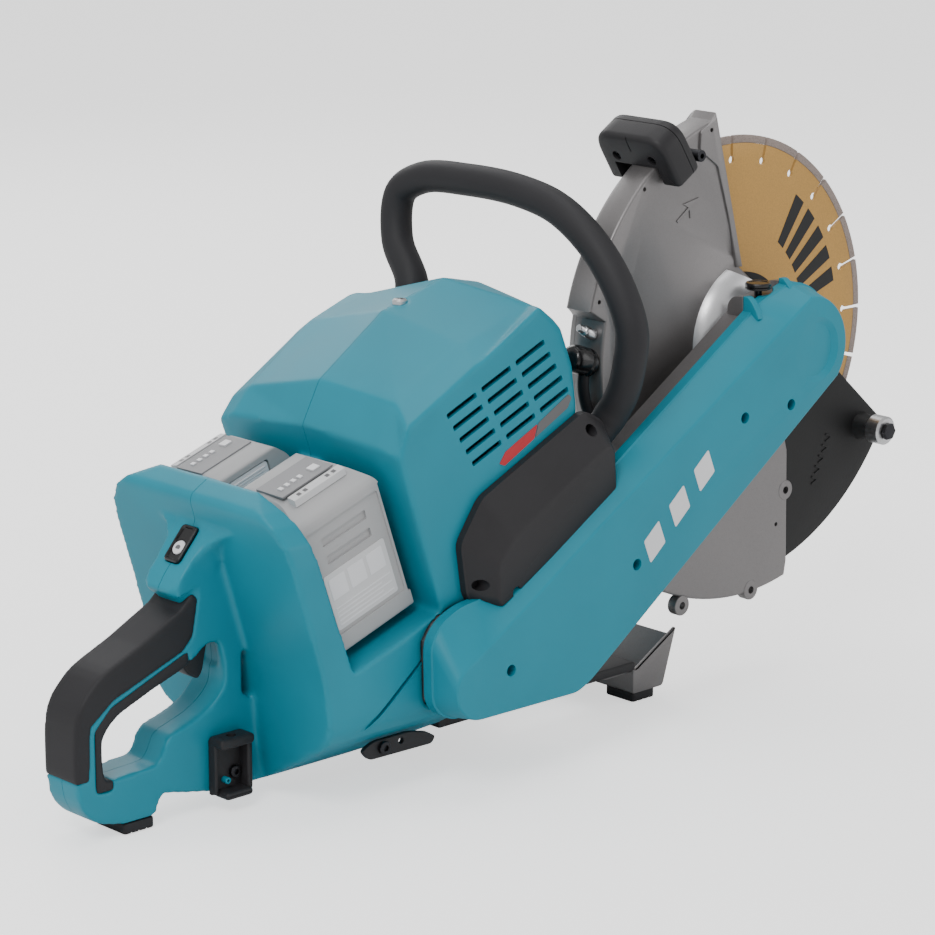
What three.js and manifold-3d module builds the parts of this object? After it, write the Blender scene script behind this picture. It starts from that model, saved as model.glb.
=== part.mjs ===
// Battery rescue saw (power cutter), modelled as it comes apart on a bench.
// Millimetres, +X forward to the cutting wheel, +Y to the left, +Z up.
// The origin is the centre of the rear foot's sole, and y = 0 is the seam of the two housing shells.
import * as THREE from 'three';
import { mergeVertices } from 'three/addons/utils/BufferGeometryUtils.js';
import Module from 'manifold-3d';

const wasm = await Module();
wasm.setup();

// ---- driving dimensions ----
const GAP = 0.3; // air between touching pieces
const SHELL = 3.5; // wall of the plastic shells
const AXLE = { x: 552, z: 276 }; // spindle of the cutting wheel
const MOTOR = { x: 272, z: 100 }; // shaft of the motor and the drive pulley
const WHEEL_RADIUS = 152.5;
const WHEEL_Y = -49;
const WHEEL_THICKNESS = 3.2;
const WHEEL_SEGMENTS = 24;
const DRIVE_RADIUS = 16;
const DRIVEN_RADIUS = 29;
const BELT_THICKNESS = 3;
const BELT_Y = [-127, -115];
const COVER_Y = [-135, -104]; // belt cover, outer face to open side
const CASTING_Y = [-103.7, -86]; // arm casting behind the belt cover
const GUARD_Y = [-70, -30]; // outer faces of the wheel guard
const BODY_HALF = 100; // half width of the housing
const LEAN = THREE.MathUtils.degToRad(19); // lean of the battery packs and the wall behind them
const PACK = { width: 77, length: 118, inner: 12, outer: 82, x: 160.5, z: 125 };
const HANDLE_HALF = 18; // half width of the rear handle
const TUBE_RADIUS = 12.2; // front handle with its sleeve

// ---- materials ----
function material(color, roughness, metalness = 0) {
  return new THREE.MeshStandardMaterial({ color, roughness, metalness });
}
const TEAL = material(0x2a8ca3, 0.5);
const BLACK = material(0x2b2b2d, 0.55);
const RUBBER = material(0x353437, 0.8);
const CASTING = material(0x98989a, 0.4, 0.7);
const STEEL = material(0xb5b6b8, 0.3, 1);
const DARK_STEEL = material(0x3a3a3c, 0.4, 0.9);
const GOLD = material(0xb8955f, 0.45, 0.6);
const PACK_GREY = material(0xb9b9b9, 0.6);
const COPPER = material(0xa8603a, 0.4, 0.8);
const WHITE = material(0xe4e4e4, 0.5);

// ---- outlines: lists of [a, b] or [a, b, cut]; cut rounds a corner that far along its sides ----
function smooth(corners, steps = 2) {
  const points = [];
  corners.forEach((corner, i) => {
    const here = new THREE.Vector2(corner[0], corner[1]);
    const cut = corner[2] ?? 0;
    if (!cut) {
      points.push(here);
      return;
    }
    const toward = (other) => {
      const side = new THREE.Vector2(other[0], other[1]).sub(here);
      return here.clone().add(side.setLength(Math.min(cut, side.length() * 0.49)));
    };
    const bend = new THREE.QuadraticBezierCurve(
      toward(corners.at(i - 1)),
      here,
      toward(corners[(i + 1) % corners.length]),
    );
    points.push(...bend.getPoints(steps));
  });
  return new THREE.Shape(points);
}

function arc(x, z, radius, from, to, steps) {
  return Array.from({ length: steps + 1 }, (_, i) => {
    const angle = THREE.MathUtils.degToRad(from + ((to - from) * i) / steps);
    return [x + radius * Math.cos(angle), z + radius * Math.sin(angle)];
  });
}

const polar = (x, z, radius, degrees) => [
  x + radius * Math.cos(THREE.MathUtils.degToRad(degrees)),
  z + radius * Math.sin(THREE.MathUtils.degToRad(degrees)),
];

// The same outline moved outward by a distance, or inward by a negative one.
function offset(corners, distance) {
  const points = corners.map(([x, z]) => new THREE.Vector2(x, z));
  const outward = Math.sign(THREE.ShapeUtils.area(points)) * distance;
  return corners.map((corner, i) => {
    const before = points[i].clone().sub(points.at(i - 1)).normalize();
    const after = points[(i + 1) % points.length].clone().sub(points[i]).normalize();
    const normal = new THREE.Vector2(before.y + after.y, -before.x - after.x).normalize();
    const reach = outward / Math.max(0.5, normal.dot(new THREE.Vector2(after.y, -after.x)));
    return [corner[0] + normal.x * reach, corner[1] + normal.y * reach, corner[2] ?? 0];
  });
}

const aboutAxle = (radius, from, to, steps) => arc(AXLE.x, AXLE.z, radius, from, to, steps);

// ---- prisms ----
const X = new THREE.Vector3(1, 0, 0);
const Y = new THREE.Vector3(0, 1, 0);
const Z = new THREE.Vector3(0, 0, 1);

function prism(shape, depth, basis) {
  const geometry = new THREE.ExtrudeGeometry(shape, { depth, bevelEnabled: false });
  return geometry.applyMatrix4(new THREE.Matrix4().makeBasis(...basis));
}
// An outline of [x, z] between two y values.
const plate = (corners, low, high, steps) =>
  prism(smooth(corners, steps), high - low, [X, Z, Y.clone().negate()]).translate(0, high, 0);
// An outline of [y, z] between two x values.
const frontPlate = (corners, low, high, steps) =>
  prism(smooth(corners, steps), high - low, [Y, Z, X]).translate(low, 0, 0);

function block(x0, x1, y0, y1, z0, z1) {
  const box = new THREE.BoxGeometry(x1 - x0, y1 - y0, z1 - z0);
  return box.translate((x0 + x1) / 2, (y0 + y1) / 2, (z0 + z1) / 2);
}
// A cylinder along Y.
function rod(centre, radius, y0, y1, sides = 20) {
  const cylinder = new THREE.CylinderGeometry(radius, radius, y1 - y0, sides);
  return cylinder.translate(centre.x, (y0 + y1) / 2, centre.z);
}
// A cylinder along Z.
const upright = (radius, z0, z1, sides) =>
  new THREE.CylinderGeometry(radius, radius, z1 - z0, sides)
    .rotateX(Math.PI / 2)
    .translate(0, 0, (z0 + z1) / 2);
// A closed skin through rings of [x, z] corners, each at its own y, lowest y first.
function loft(given) {
  const turn = THREE.ShapeUtils.isClockWise(given[0].corners.map(([x, z]) => new THREE.Vector2(x, z)));
  const rings = given.map(({ corners, y }) => ({ corners: turn ? corners.toReversed() : corners, y }));
  const count = rings[0].corners.length;
  const positions = rings.flatMap(({ corners, y }) => corners.flatMap(([x, z]) => [x, y, z]));
  const flat = rings[0].corners.map(([x, z]) => new THREE.Vector2(x, z));
  const index = [];
  const last = (rings.length - 1) * count;
  for (const [a, b, c] of THREE.ShapeUtils.triangulateShape(flat, [])) {
    index.push(a, b, c, last + c, last + b, last + a);
  }
  for (let ring = 0; ring < rings.length - 1; ring += 1) {
    for (let i = 0; i < count; i += 1) {
      const here = ring * count + i;
      const next = ring * count + ((i + 1) % count);
      index.push(next, here, here + count, next, here + count, next + count);
    }
  }
  const geometry = new THREE.BufferGeometry();
  geometry.setAttribute('position', new THREE.Float32BufferAttribute(positions, 3));
  geometry.setIndex(index);
  return geometry;
}
const washer = (centre, outer, inner, y0, y1, sides = 20) =>
  cut(rod(centre, outer, y0, y1, sides), rod(centre, inner, y0 - 1, y1 + 1, sides));

// ---- solids ----
function solid(geometry) {
  if (geometry instanceof wasm.Manifold) return geometry;
  const bare = geometry.clone();
  bare.deleteAttribute('normal');
  bare.deleteAttribute('uv');
  const merged = mergeVertices(bare, 1e-4);
  return new wasm.Manifold(
    new wasm.Mesh({
      numProp: 3,
      vertProperties: new Float32Array(merged.attributes.position.array),
      triVerts: new Uint32Array(merged.index.array),
    }),
  );
}
const join = (first, ...rest) => rest.reduce((sum, next) => sum.add(solid(next)), solid(first));
const cut = (first, ...rest) => rest.reduce((sum, next) => sum.subtract(solid(next)), solid(first));
const common = (first, ...rest) => rest.reduce((sum, next) => sum.intersect(solid(next)), solid(first));

function geometryOf(shape) {
  if (!(shape instanceof wasm.Manifold)) return shape;
  const { vertProperties, triVerts } = shape.getMesh();
  const geometry = new THREE.BufferGeometry();
  geometry.setAttribute('position', new THREE.BufferAttribute(new Float32Array(vertProperties), 3));
  geometry.setIndex(new THREE.BufferAttribute(new Uint32Array(triVerts), 1));
  geometry.computeVertexNormals();
  return geometry;
}

const saw = new THREE.Group();
function piece(name, shape, finish) {
  const mesh = new THREE.Mesh(geometryOf(shape), finish);
  mesh.name = name;
  saw.add(mesh);
}
// The same solid on the other side of the seam plane.
function mirrored(shape) {
  const geometry = geometryOf(shape).clone().scale(1, -1, 1);
  const index = geometry.index.array;
  for (let i = 0; i < index.length; i += 3) {
    [index[i], index[i + 1]] = [index[i + 1], index[i]];
  }
  return geometry;
}
const rightHalf = block(-100, 800, -200, -GAP / 2, -10, 500);
const leftHalf = block(-100, 800, GAP / 2, 200, -10, 500);

// ---- battery packs: built upright at the origin, then leaned and placed ----
const leaned = (geometry) => geometry.rotateY(-LEAN).translate(PACK.x, 0, PACK.z);
// A box in the pack's own frame: u across, v up from its base.
const packBox = (u0, u1, y0, y1, v0, v1) => leaned(block(u0, u1, y0, y1, v0, v1));
const PACK_HALF = PACK.width / 2;
const PACK_MIDDLE = -(PACK.inner + PACK.outer) / 2;
const CONTACT = { half: 14, depth: 9, height: 46 }; // the pack's contact slot and its terminal block

const packSide = [
  [-PACK_HALF, 0, 3],
  [PACK_HALF, 0, 3],
  [PACK_HALF, PACK.length - 16, 6],
  [PACK_HALF - 14, PACK.length, 6],
  [-PACK_HALF + 12, PACK.length, 6],
  [-PACK_HALF, PACK.length - 14, 6],
];
const packEnd = [
  [-PACK.outer, 0, 3],
  [-PACK.inner, 0, 3],
  [-PACK.inner, PACK.length - 3, 2],
  [-PACK.inner - 12, PACK.length, 4],
  [-PACK.outer + 22, PACK.length - 4, 4],
  [-PACK.outer, PACK.length - 14, 4],
];
const contactSlot = packBox(
  -PACK_HALF - 1,
  -PACK_HALF + CONTACT.depth,
  PACK_MIDDLE - CONTACT.half,
  PACK_MIDDLE + CONTACT.half,
  -1,
  CONTACT.height + 6,
);
const BUTTON = { half: 19, low: 90, high: 110, depth: 5 };
const buttonWell = packBox(
  -BUTTON.half,
  BUTTON.half,
  -PACK.inner - BUTTON.depth,
  -PACK.inner + 1,
  BUTTON.low,
  BUTTON.high,
);
const pack = cut(
  common(leaned(plate(packSide, -200, 200)), leaned(frontPlate(packEnd, -60, 60))),
  contactSlot,
  buttonWell,
);
piece('battery_pack_right', pack, PACK_GREY);
piece('battery_pack_left', mirrored(pack), PACK_GREY);
const release = packBox(
  -BUTTON.half + 1,
  BUTTON.half - 1,
  -PACK.inner - BUTTON.depth + 1.8,
  -PACK.inner - 0.6,
  BUTTON.low + 1,
  BUTTON.high - 1,
);
piece('battery_button_right', solid(release), WHITE);
piece('battery_button_left', mirrored(solid(release)), WHITE);
const terminal = packBox(
  -PACK_HALF - 0.8,
  -PACK_HALF + CONTACT.depth - 2,
  PACK_MIDDLE - CONTACT.half + 2,
  PACK_MIDDLE + CONTACT.half - 2,
  4,
  CONTACT.height,
);
piece('terminal_block_right', solid(terminal), BLACK);
piece('terminal_block_left', mirrored(solid(terminal)), BLACK);

// ---- belt arm: outlines shared by the cover, the casting and the pocket in the housing ----
// Each corner is [base x, base z, face x, face z].
const ARM_END = { base: 48, face: 40, from: -38, to: 90, steps: 7 };
const faceEnd = aboutAxle(ARM_END.face, ARM_END.from, ARM_END.to, ARM_END.steps);
const roundEnd = aboutAxle(ARM_END.base, ARM_END.from, ARM_END.to, ARM_END.steps).map((point, i) => [
  ...point,
  ...faceEnd[i],
]);
const armCorners = [
  [186, 70, 190, 74],
  [202, 57, 204, 61],
  [310, 55, 308, 60],
  [326, 61, 321, 66],
  ...roundEnd,
  [521, 315, 534, 304],
  [353, 207, 343, 188],
  [240, 141, 226, 116],
  [213, 138, 208, 105],
  [195, 130, 195, 98],
  [185, 117, 189, 90],
];
const armBase = armCorners.map(([x, z]) => [x, z]);
const armFace = armCorners.map(([, , x, z]) => [x, z]);
const castingOutline = offset(armBase, -4);
const COVER_SCREWS = [
  { x: 241, z: 91 },
  { x: 367, z: 144 },
  { x: 480, z: 235 },
  { x: 531, z: 237 },
];

// ---- housing: two shells split on the seam ----
// Side outlines of the pod at five places across it; the right shoulder is higher, with a flat vent panel.
const podRings = [
  {
    y: -BODY_HALF,
    front: [[316, 36], [336, 60], [338, 262], [334, 290], [322, 320]],
    top: [[300, 339], [238, 304], [174, 270], [168, 250]],
  },
  {
    y: -80,
    front: [[322, 36], [348, 60], [350, 262], [346, 296], [334, 322]],
    top: [[312, 336], [246, 316], [182, 284], [166, 254]],
  },
  {
    y: 0,
    front: [[322, 36], [350, 60], [354, 262], [350, 310], [336, 338]],
    top: [[300, 346], [242, 330], [181, 288], [165, 258]],
  },
  {
    y: 80,
    front: [[322, 36], [348, 60], [350, 262], [346, 296], [334, 318]],
    top: [[300, 323], [243, 311], [182, 270], [165, 250]],
  },
  {
    y: BODY_HALF,
    front: [[316, 36], [336, 60], [338, 262], [334, 290], [322, 312]],
    top: [[300, 320], [245, 298], [182, 259], [170, 244]],
  },
].map(({ y, front, top }) => ({ y, corners: [[206, 60], [232, 36], ...front, ...top, [207, 134]] }));
const podFront = [
  [-BODY_HALF, 66, 12],
  [-64, 38, 16],
  [64, 38, 16],
  [BODY_HALF, 66, 12],
  [BODY_HALF, 400],
  [-BODY_HALF, 400],
];
const pod = common(loft(podRings), frontPlate(podFront, 100, 400));
const podInside = loft(
  podRings.map(({ y, corners }) => ({
    y: THREE.MathUtils.clamp(y, -BODY_HALF + SHELL, BODY_HALF - SHELL),
    corners: offset(corners, -SHELL - 0.5),
  })),
);
const insideSide = [
  [216, 66],
  [238, 42],
  [318, 42],
  [326, 64],
  [326, 322],
  [264, 330],
  [222, 306],
  [190, 278],
  [176, 256],
  [216, 136],
];
const insideFront = [
  [-BODY_HALF + SHELL, 74],
  [-62, 42],
  [62, 42],
  [BODY_HALF - SHELL, 74],
  [BODY_HALF - SHELL, 306],
  [74, 328],
  [-74, 328],
  [-BODY_HALF + SHELL, 306],
];
const POCKET_FLOOR = CASTING_Y[1] + GAP;
const podCavity = cut(
  common(
    podInside,
    plate(insideSide, -BODY_HALF + SHELL, BODY_HALF - SHELL),
    frontPlate(insideFront, 100, 400),
  ),
  plate(offset(castingOutline, SHELL), -110, POCKET_FLOOR + SHELL),
);
// The lower body under the packs, with the wall behind them.
const hull = common(
  plate(
    [
      [62, 224, 5],
      [82, 236, 4],
      [126, 105],
      [208, 133],
      [216, 128],
      [240, 36],
      [216, 22, 10],
      [112, 3, 14],
      [105, 40, 10],
      [100, 100, 20],
    ],
    -BODY_HALF,
    BODY_HALF,
    3,
  ),
  frontPlate(
    [
      [-BODY_HALF, 58, 16],
      [-60, 34, 16],
      [-18, 12, 10],
      [18, 12, 10],
      [60, 34, 16],
      [BODY_HALF, 58, 16],
      [98, 214, 26],
      [50, 236],
      [-50, 236],
      [-98, 214, 26],
    ],
    0,
    300,
    3,
  ),
);
const WEB_HEIGHT = 98;
const web = packBox(
  -PACK_HALF - 6,
  PACK_HALF + 16,
  -PACK.inner + 1,
  PACK.inner - 1,
  -12,
  WEB_HEIGHT,
);
const hullCavity = common(
  plate(
    [
      [132, 94],
      [205, 118],
      [222, 80],
      [214, 34],
      [124, 20],
      [112, 40],
    ],
    -92,
    92,
  ),
  frontPlate(
    [
      [-92, 64],
      [-58, 40],
      [-16, 20],
      [16, 20],
      [58, 40],
      [92, 64],
      [92, 200],
      [-92, 200],
    ],
    100,
    240,
  ),
);
const wallCavity = packBox(-PACK_HALF - 15, -PACK_HALF - 4.5, -84, 84, -6, 92);
// The spur that carries the lamp button, and the bar and handle below it.
const spur = plate(
  [
    [68, 206, 3],
    [35, 168, 6],
    [38, 152],
    [44, 112],
    [70, 130, 6],
    [92, 110],
    [110, 120],
    [86, 214],
  ],
  -HANDLE_HALF,
  HANDLE_HALF,
  3,
);
const gripSpan = plate(
  [
    [50, 160],
    [39, 150],
    [4, 132],
    [-31, 117, 10],
    [-50, 98, 12],
    [-53, 76, 10],
    [-53, 52],
    [-51, 29, 14],
    [-38, 14, 10],
    [-14, 8.5],
    [14, 8.5, 4],
    [19, 23, 6],
    [40, 18],
    [70, 12],
    [116, 12],
    [120, 60],
    [92, 80],
    [92, 124],
    [60, 150],
  ],
  -HANDLE_HALF,
  HANDLE_HALF,
  3,
);
const handLoop = plate(
  [
    [48, 112, 5],
    [38, 108],
    [12, 99],
    [-19, 87, 8],
    [-31, 74, 6],
    [-31, 58],
    [-29, 42, 5],
    [18, 44, 6],
    [26, 62, 6],
    [60, 72, 14],
    [78, 88, 10],
    [76, 108, 6],
    [72, 122, 4],
    [62, 122],
  ],
  -60,
  60,
  3,
);
const TRIGGER_PIVOT = { x: 66, z: 130 };
const triggerBay = plate(
  [
    [40, 97],
    [80, 100],
    [76, 138],
    [42, 138],
  ],
  -9.5,
  9.5,
);
const SWITCH = [61, 80, -8, 8, 142, 158];
const switchBay = block(60, 82, -8.5, 8.5, 137, 160);

// The rubber strips are let into the handle round a core that both shells share.
const outerStrip = [
  [56, 166],
  [49, 130],
  [40, 121],
  [-20, 99],
  [-40, 84],
  [-42, 46],
  [-60, 46],
  [-62, 110],
  [-20, 136],
];
const innerStrip = [
  [45, 120],
  [46, 104],
  [10, 90],
  [-22, 78],
  [-22, 36],
  [-36, 36],
  [-36, 80],
  [-22, 94],
];
const gripCore = [
  [58, 162],
  [38, 146.7],
  [5, 129],
  [-29, 113],
  [-46, 96],
  [-49.6, 76],
  [-49.6, 30],
  [-34, 30],
  [-34, 75],
  [-20.5, 90],
  [11, 102.4],
  [47, 116],
  [58, 118],
];
const CORE_HALF = HANDLE_HALF - 3;
const stripBed = (corners, coreGrowth) =>
  cut(
    plate(corners, -30, 30),
    plate(offset(gripCore, coreGrowth), -CORE_HALF - coreGrowth, CORE_HALF + coreGrowth),
  );
const handle = cut(gripSpan, handLoop);
piece('grip_outer', common(handle, stripBed(outerStrip, GAP)), RUBBER);
piece('grip_inner', cut(common(handle, stripBed(innerStrip, GAP)), triggerBay), RUBBER);

// The bay of each pack, open to the side and to the top.
const bay = packBox(
  -PACK_HALF - 1,
  PACK_HALF + 8,
  -BODY_HALF - 20,
  -PACK.inner + 1,
  -4,
  PACK.length + 40,
);
// A channel in the front of the body that the guard swings through.
const guardChannel = block(334, 400, GUARD_Y[0] - 6, GUARD_Y[1] + 6, 150, 400);

// Lamp button on the spur: a frame whose u runs up the slope and w stands out of it.
const SLOPE = THREE.MathUtils.degToRad(49);
const onSlope = (geometry) => geometry.rotateY(-SLOPE).translate(56, 0, 190.5);
const bezelBlock = (grow, bottom) => {
  const half = { u: 14.5 + grow, y: 8 + grow };
  return onSlope(block(-half.u, half.u, -half.y, half.y, bottom, 3));
};
const buttonRod = (radius, bottom, top) => {
  const cylinder = new THREE.CylinderGeometry(radius, radius, top - bottom, 20);
  return onSlope(cylinder.rotateX(Math.PI / 2).translate(-3, 0, (top + bottom) / 2));
};
const bezel = cut(bezelBlock(0, -7), buttonRod(5.8, -5.5, 5));
piece('button_bezel', bezel, BLACK);
piece('lamp_button', solid(buttonRod(5.4, -3.8, 2.2)), WHITE);

// Cooling slots in the raised panel: rows that step down and forward.
const vents = [];
for (let row = 0; row < 5; row += 1) {
  for (let column = 0; column < 3; column += 1) {
    const slot = block(-15, 15, -BODY_HALF - 5, BODY_HALF + 5, -2, 2);
    const along = THREE.MathUtils.degToRad(23);
    const x = 226 + column * 33 + row * 6;
    const z = 279 + column * 14 - row * 9.5;
    vents.push(slot.rotateY(-along).translate(x, 0, z));
  }
}

// Front handle: a bent tube in a rubber sleeve, from the left shoulder over to the right side.
const handlePath = new THREE.CatmullRomCurve3(
  [
    [340, 80, 300],
    [347, 86, 324],
    [356, 112, 352],
    [363, 116, 386],
    [366, 94, 400],
    [368, 46, 404],
    [370, -8, 402],
    [370, -50, 393],
    [370, -86, 371],
    [370, -111, 343],
    [370, -123, 314],
    [369, -124, 288],
    [360, -117, 262],
    [340, -114, 244],
    [322, -114, 234],
  ].map((point) => new THREE.Vector3(...point)),
  false,
  'centripetal',
);
function tubeAlong(path, outer, inner, sides, steps) {
  const ring = (radius) => arc(0, 0, radius, 0, 360 - 360 / sides, sides - 1);
  const section = smooth(ring(outer));
  if (inner) section.holes.push(smooth(ring(inner)));
  return new THREE.ExtrudeGeometry(section, { steps, extrudePath: path, bevelEnabled: false });
}
const SLEEVE_WALL = 2.2;
piece('front_handle_sleeve', tubeAlong(handlePath, TUBE_RADIUS, TUBE_RADIUS - SLEEVE_WALL, 10, 26), RUBBER);
piece(
  'front_handle_tube',
  tubeAlong(handlePath, TUBE_RADIUS - SLEEVE_WALL - 2 * GAP, TUBE_RADIUS - SLEEVE_WALL - 3, 8, 26),
  STEEL,
);
const handleBore = tubeAlong(handlePath, TUBE_RADIUS + 0.6, 0, 10, 26);

// Rings inside the shells that hold the motor and its far bearing.
const STATOR_RADIUS = 50;
const cradle = (y0, y1, inner) => common(washer(MOTOR, 66, inner, y0, y1, 28), pod);
const TOP_SCREW = { x: 258, z: 332, radius: 5.5, height: 4 };
const screwWell = upright(TOP_SCREW.radius + 0.5, TOP_SCREW.z - GAP, TOP_SCREW.z + 20, 16);
screwWell.translate(TOP_SCREW.x, 0, 0);
const housing = join(
  cut(
    join(cut(hull, hullCavity), web, cut(spur, switchBay), cut(handle, triggerBay), cut(pod, podCavity)),
    hullCavity,
    wallCavity,
    podCavity,
    plate(offset(gripCore, -4), -11, 11),
    triggerBay,
    switchBay,
    handLoop,
    bay,
    mirrored(solid(bay)),
    guardChannel,
    ...vents,
    stripBed(offset(outerStrip, GAP), 0),
    stripBed(offset(innerStrip, GAP), 0),
    plate(offset(castingOutline, GAP), -BODY_HALF - 10, POCKET_FLOOR),
    rod(MOTOR, 20, -110, -70),
    bezelBlock(GAP, -7.3),
    handleBore,
    screwWell,
    block(-25, 25, -30, 30, -5, 8.2),
  ),
  cradle(-24, -18, STATOR_RADIUS + GAP),
  cradle(18, 24, STATOR_RADIUS + GAP),
  cradle(44, 52, 16 + 2 * GAP),
);
piece('housing_right', common(housing, rightHalf), TEAL);
piece('housing_left', common(housing, leftHalf), TEAL);

const screwTop = TOP_SCREW.z + TOP_SCREW.height;
const screwHead = upright(TOP_SCREW.radius, TOP_SCREW.z, screwTop, 16).translate(TOP_SCREW.x, 0, 0);
const driverSlot = block(TOP_SCREW.x - 8, TOP_SCREW.x + 8, -0.5, 0.5, screwTop - 1, screwTop + 2);
piece('pod_screw', cut(screwHead, driverSlot), STEEL);

// ---- controls ----
const trigger = join(
  rod(TRIGGER_PIVOT, 4, -8, 8, 14),
  plate(
    [
      [66, 134, 3],
      [54, 122, 4],
      [47, 107, 3],
      [53, 99],
      [61, 94, 3],
      [65, 99, 3],
      [71, 126, 3],
    ],
    -8,
    8,
    3,
  ),
);
piece('trigger', trigger, BLACK);
piece('trigger_switch', block(...SWITCH), BLACK);

// ---- motor, controller and fan ----
const STATOR_BORE = 31;
const SHAFT_RADIUS = 7;
piece('motor_stator', washer(MOTOR, STATOR_RADIUS, STATOR_BORE, -28, 28, 28), COPPER);
const rotor = join(
  rod(MOTOR, SHAFT_RADIUS, -128, 53, 16),
  rod(MOTOR, STATOR_BORE - 0.8, -27, 27, 28),
);
piece('motor_rotor', rotor, DARK_STEEL);
piece('motor_bearing_left', washer(MOTOR, 16, SHAFT_RADIUS + GAP, 44.5, 51.5), STEEL);
piece('motor_bearing_right', washer(MOTOR, 16, SHAFT_RADIUS + GAP, -98, -90), STEEL);
const blades = Array.from({ length: 9 }, (_, i) =>
  block(12, 44, -66, -54, -1.2, 1.2).rotateY((i * 2 * Math.PI) / 9).translate(MOTOR.x, 0, MOTOR.z),
);
const fan = cut(
  join(rod(MOTOR, 14, -66, -50), rod(MOTOR, 44, -54, -51.5, 28), ...blades),
  rod(MOTOR, SHAFT_RADIUS + GAP, -70, -40, 16),
);
piece('cooling_fan', fan, BLACK);
piece('controller', block(228, 318, -62, 62, 166.4, 200), DARK_STEEL);

// ---- belt drive ----
piece('drive_pulley', washer(MOTOR, DRIVE_RADIUS, SHAFT_RADIUS + GAP, ...BELT_Y, 24), STEEL);
piece('driven_pulley', washer(AXLE, DRIVEN_RADIUS, SHAFT_RADIUS + 1 + GAP, ...BELT_Y, 28), STEEL);
const beltDirection = Math.atan2(AXLE.z - MOTOR.z, AXLE.x - MOTOR.x);
const beltSpan = Math.hypot(AXLE.x - MOTOR.x, AXLE.z - MOTOR.z);
const wrap = Math.asin((DRIVEN_RADIUS - DRIVE_RADIUS) / beltSpan);
function beltLoop(clearance) {
  const heading = THREE.MathUtils.radToDeg(beltDirection);
  const turn = 90 + THREE.MathUtils.radToDeg(wrap);
  return [
    ...arc(AXLE.x, AXLE.z, DRIVEN_RADIUS + clearance, heading - turn, heading + turn, 16),
    ...arc(
      MOTOR.x,
      MOTOR.z,
      DRIVE_RADIUS + clearance,
      heading + turn,
      heading + 360 - turn,
      12,
    ),
  ];
}
const BELT_INSIDE = 0.5;
const belt = cut(
  plate(beltLoop(BELT_INSIDE + BELT_THICKNESS), BELT_Y[0] + 0.5, BELT_Y[1] - 0.5),
  plate(beltLoop(BELT_INSIDE), BELT_Y[0] - 5, BELT_Y[1] + 5),
);
piece('drive_belt', belt, BLACK);

// ---- belt arm ----
const COVER_WALL = 2.8;
const COVER_LEDGE = 8; // straight rim of the cover before its bevel starts
const coverInside = loft([
  { corners: offset(armFace, -COVER_WALL), y: COVER_Y[0] + COVER_WALL },
  { corners: offset(armBase, -COVER_WALL), y: COVER_Y[1] - COVER_LEDGE },
  { corners: offset(armBase, -COVER_WALL), y: COVER_Y[1] + 5 },
]);
const coverShell = cut(
  loft([
    { corners: armFace, y: COVER_Y[0] },
    { corners: armBase, y: COVER_Y[1] - COVER_LEDGE },
    { corners: armBase, y: COVER_Y[1] },
  ]),
  coverInside,
);
const posts = COVER_SCREWS.map((at) => rod(at, 5.4, COVER_Y[0] + 1, COVER_Y[1], 12));
const cover = cut(
  join(coverShell, ...posts),
  ...COVER_SCREWS.map((at) => rod(at, 4.2, COVER_Y[0] - 5, -113, 12)),
  ...COVER_SCREWS.map((at) => rod(at, 2.6, -114, -100, 10)),
);
piece('belt_cover', cover, TEAL);
COVER_SCREWS.forEach((at, i) => {
  const head = cut(rod(at, 3.8, -116.5, -113.3, 12), rod(at, 1.8, -120, -115, 6));
  piece(`cover_screw_${i + 1}`, join(head, rod(at, 2.2, -114, -94, 10)), DARK_STEEL);
});

const BEARING = { outer: 16, inner: 8 };
const LOCK = { x: 531, y: -99, z: 332, stem: 3 };
const TUBE_END = GUARD_Y[0] + 2;
const CASTING_RIM = 7;
const CASTING_FLOOR = 5;
const casting = cut(
  join(
    cut(
      plate(castingOutline, ...CASTING_Y),
      plate(offset(castingOutline, -CASTING_RIM), CASTING_Y[0] - 1, CASTING_Y[1] - CASTING_FLOOR),
    ),
    ...COVER_SCREWS.map((at) => rod(at, 7, ...CASTING_Y, 12)),
    rod(MOTOR, 24, ...CASTING_Y),
    rod(AXLE, 29.6, CASTING_Y[0], TUBE_END, 28),
  ),
  ...COVER_SCREWS.map((at) => rod(at, 2.6, CASTING_Y[0] - 1, -92, 10)),
  rod(AXLE, BEARING.outer + GAP, CASTING_Y[0] - 5, TUBE_END + 5),
  rod(MOTOR, BEARING.outer + GAP, CASTING_Y[0] - 5, -80),
  upright(LOCK.stem + 2 * GAP, LOCK.z - 34, LOCK.z + 6, 12).translate(LOCK.x, LOCK.y, 0),
);
piece('arm_casting', casting, CASTING);
piece('spindle_bearing_outer', washer(AXLE, BEARING.outer, BEARING.inner + GAP, -103, -93), STEEL);
piece('spindle_bearing_inner', washer(AXLE, BEARING.outer, BEARING.inner + GAP, -79, -69), STEEL);

// Spindle-lock button beside the spindle, on the arm's top edge.
const lockRod = (radius, z0, z1) => upright(radius, z0, z1, 16).translate(LOCK.x, LOCK.y, 0);
piece(
  'spindle_lock_button',
  join(lockRod(10, LOCK.z - 5, LOCK.z + 4), lockRod(LOCK.stem, LOCK.z - 20, LOCK.z - 4)),
  BLACK,
);

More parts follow.
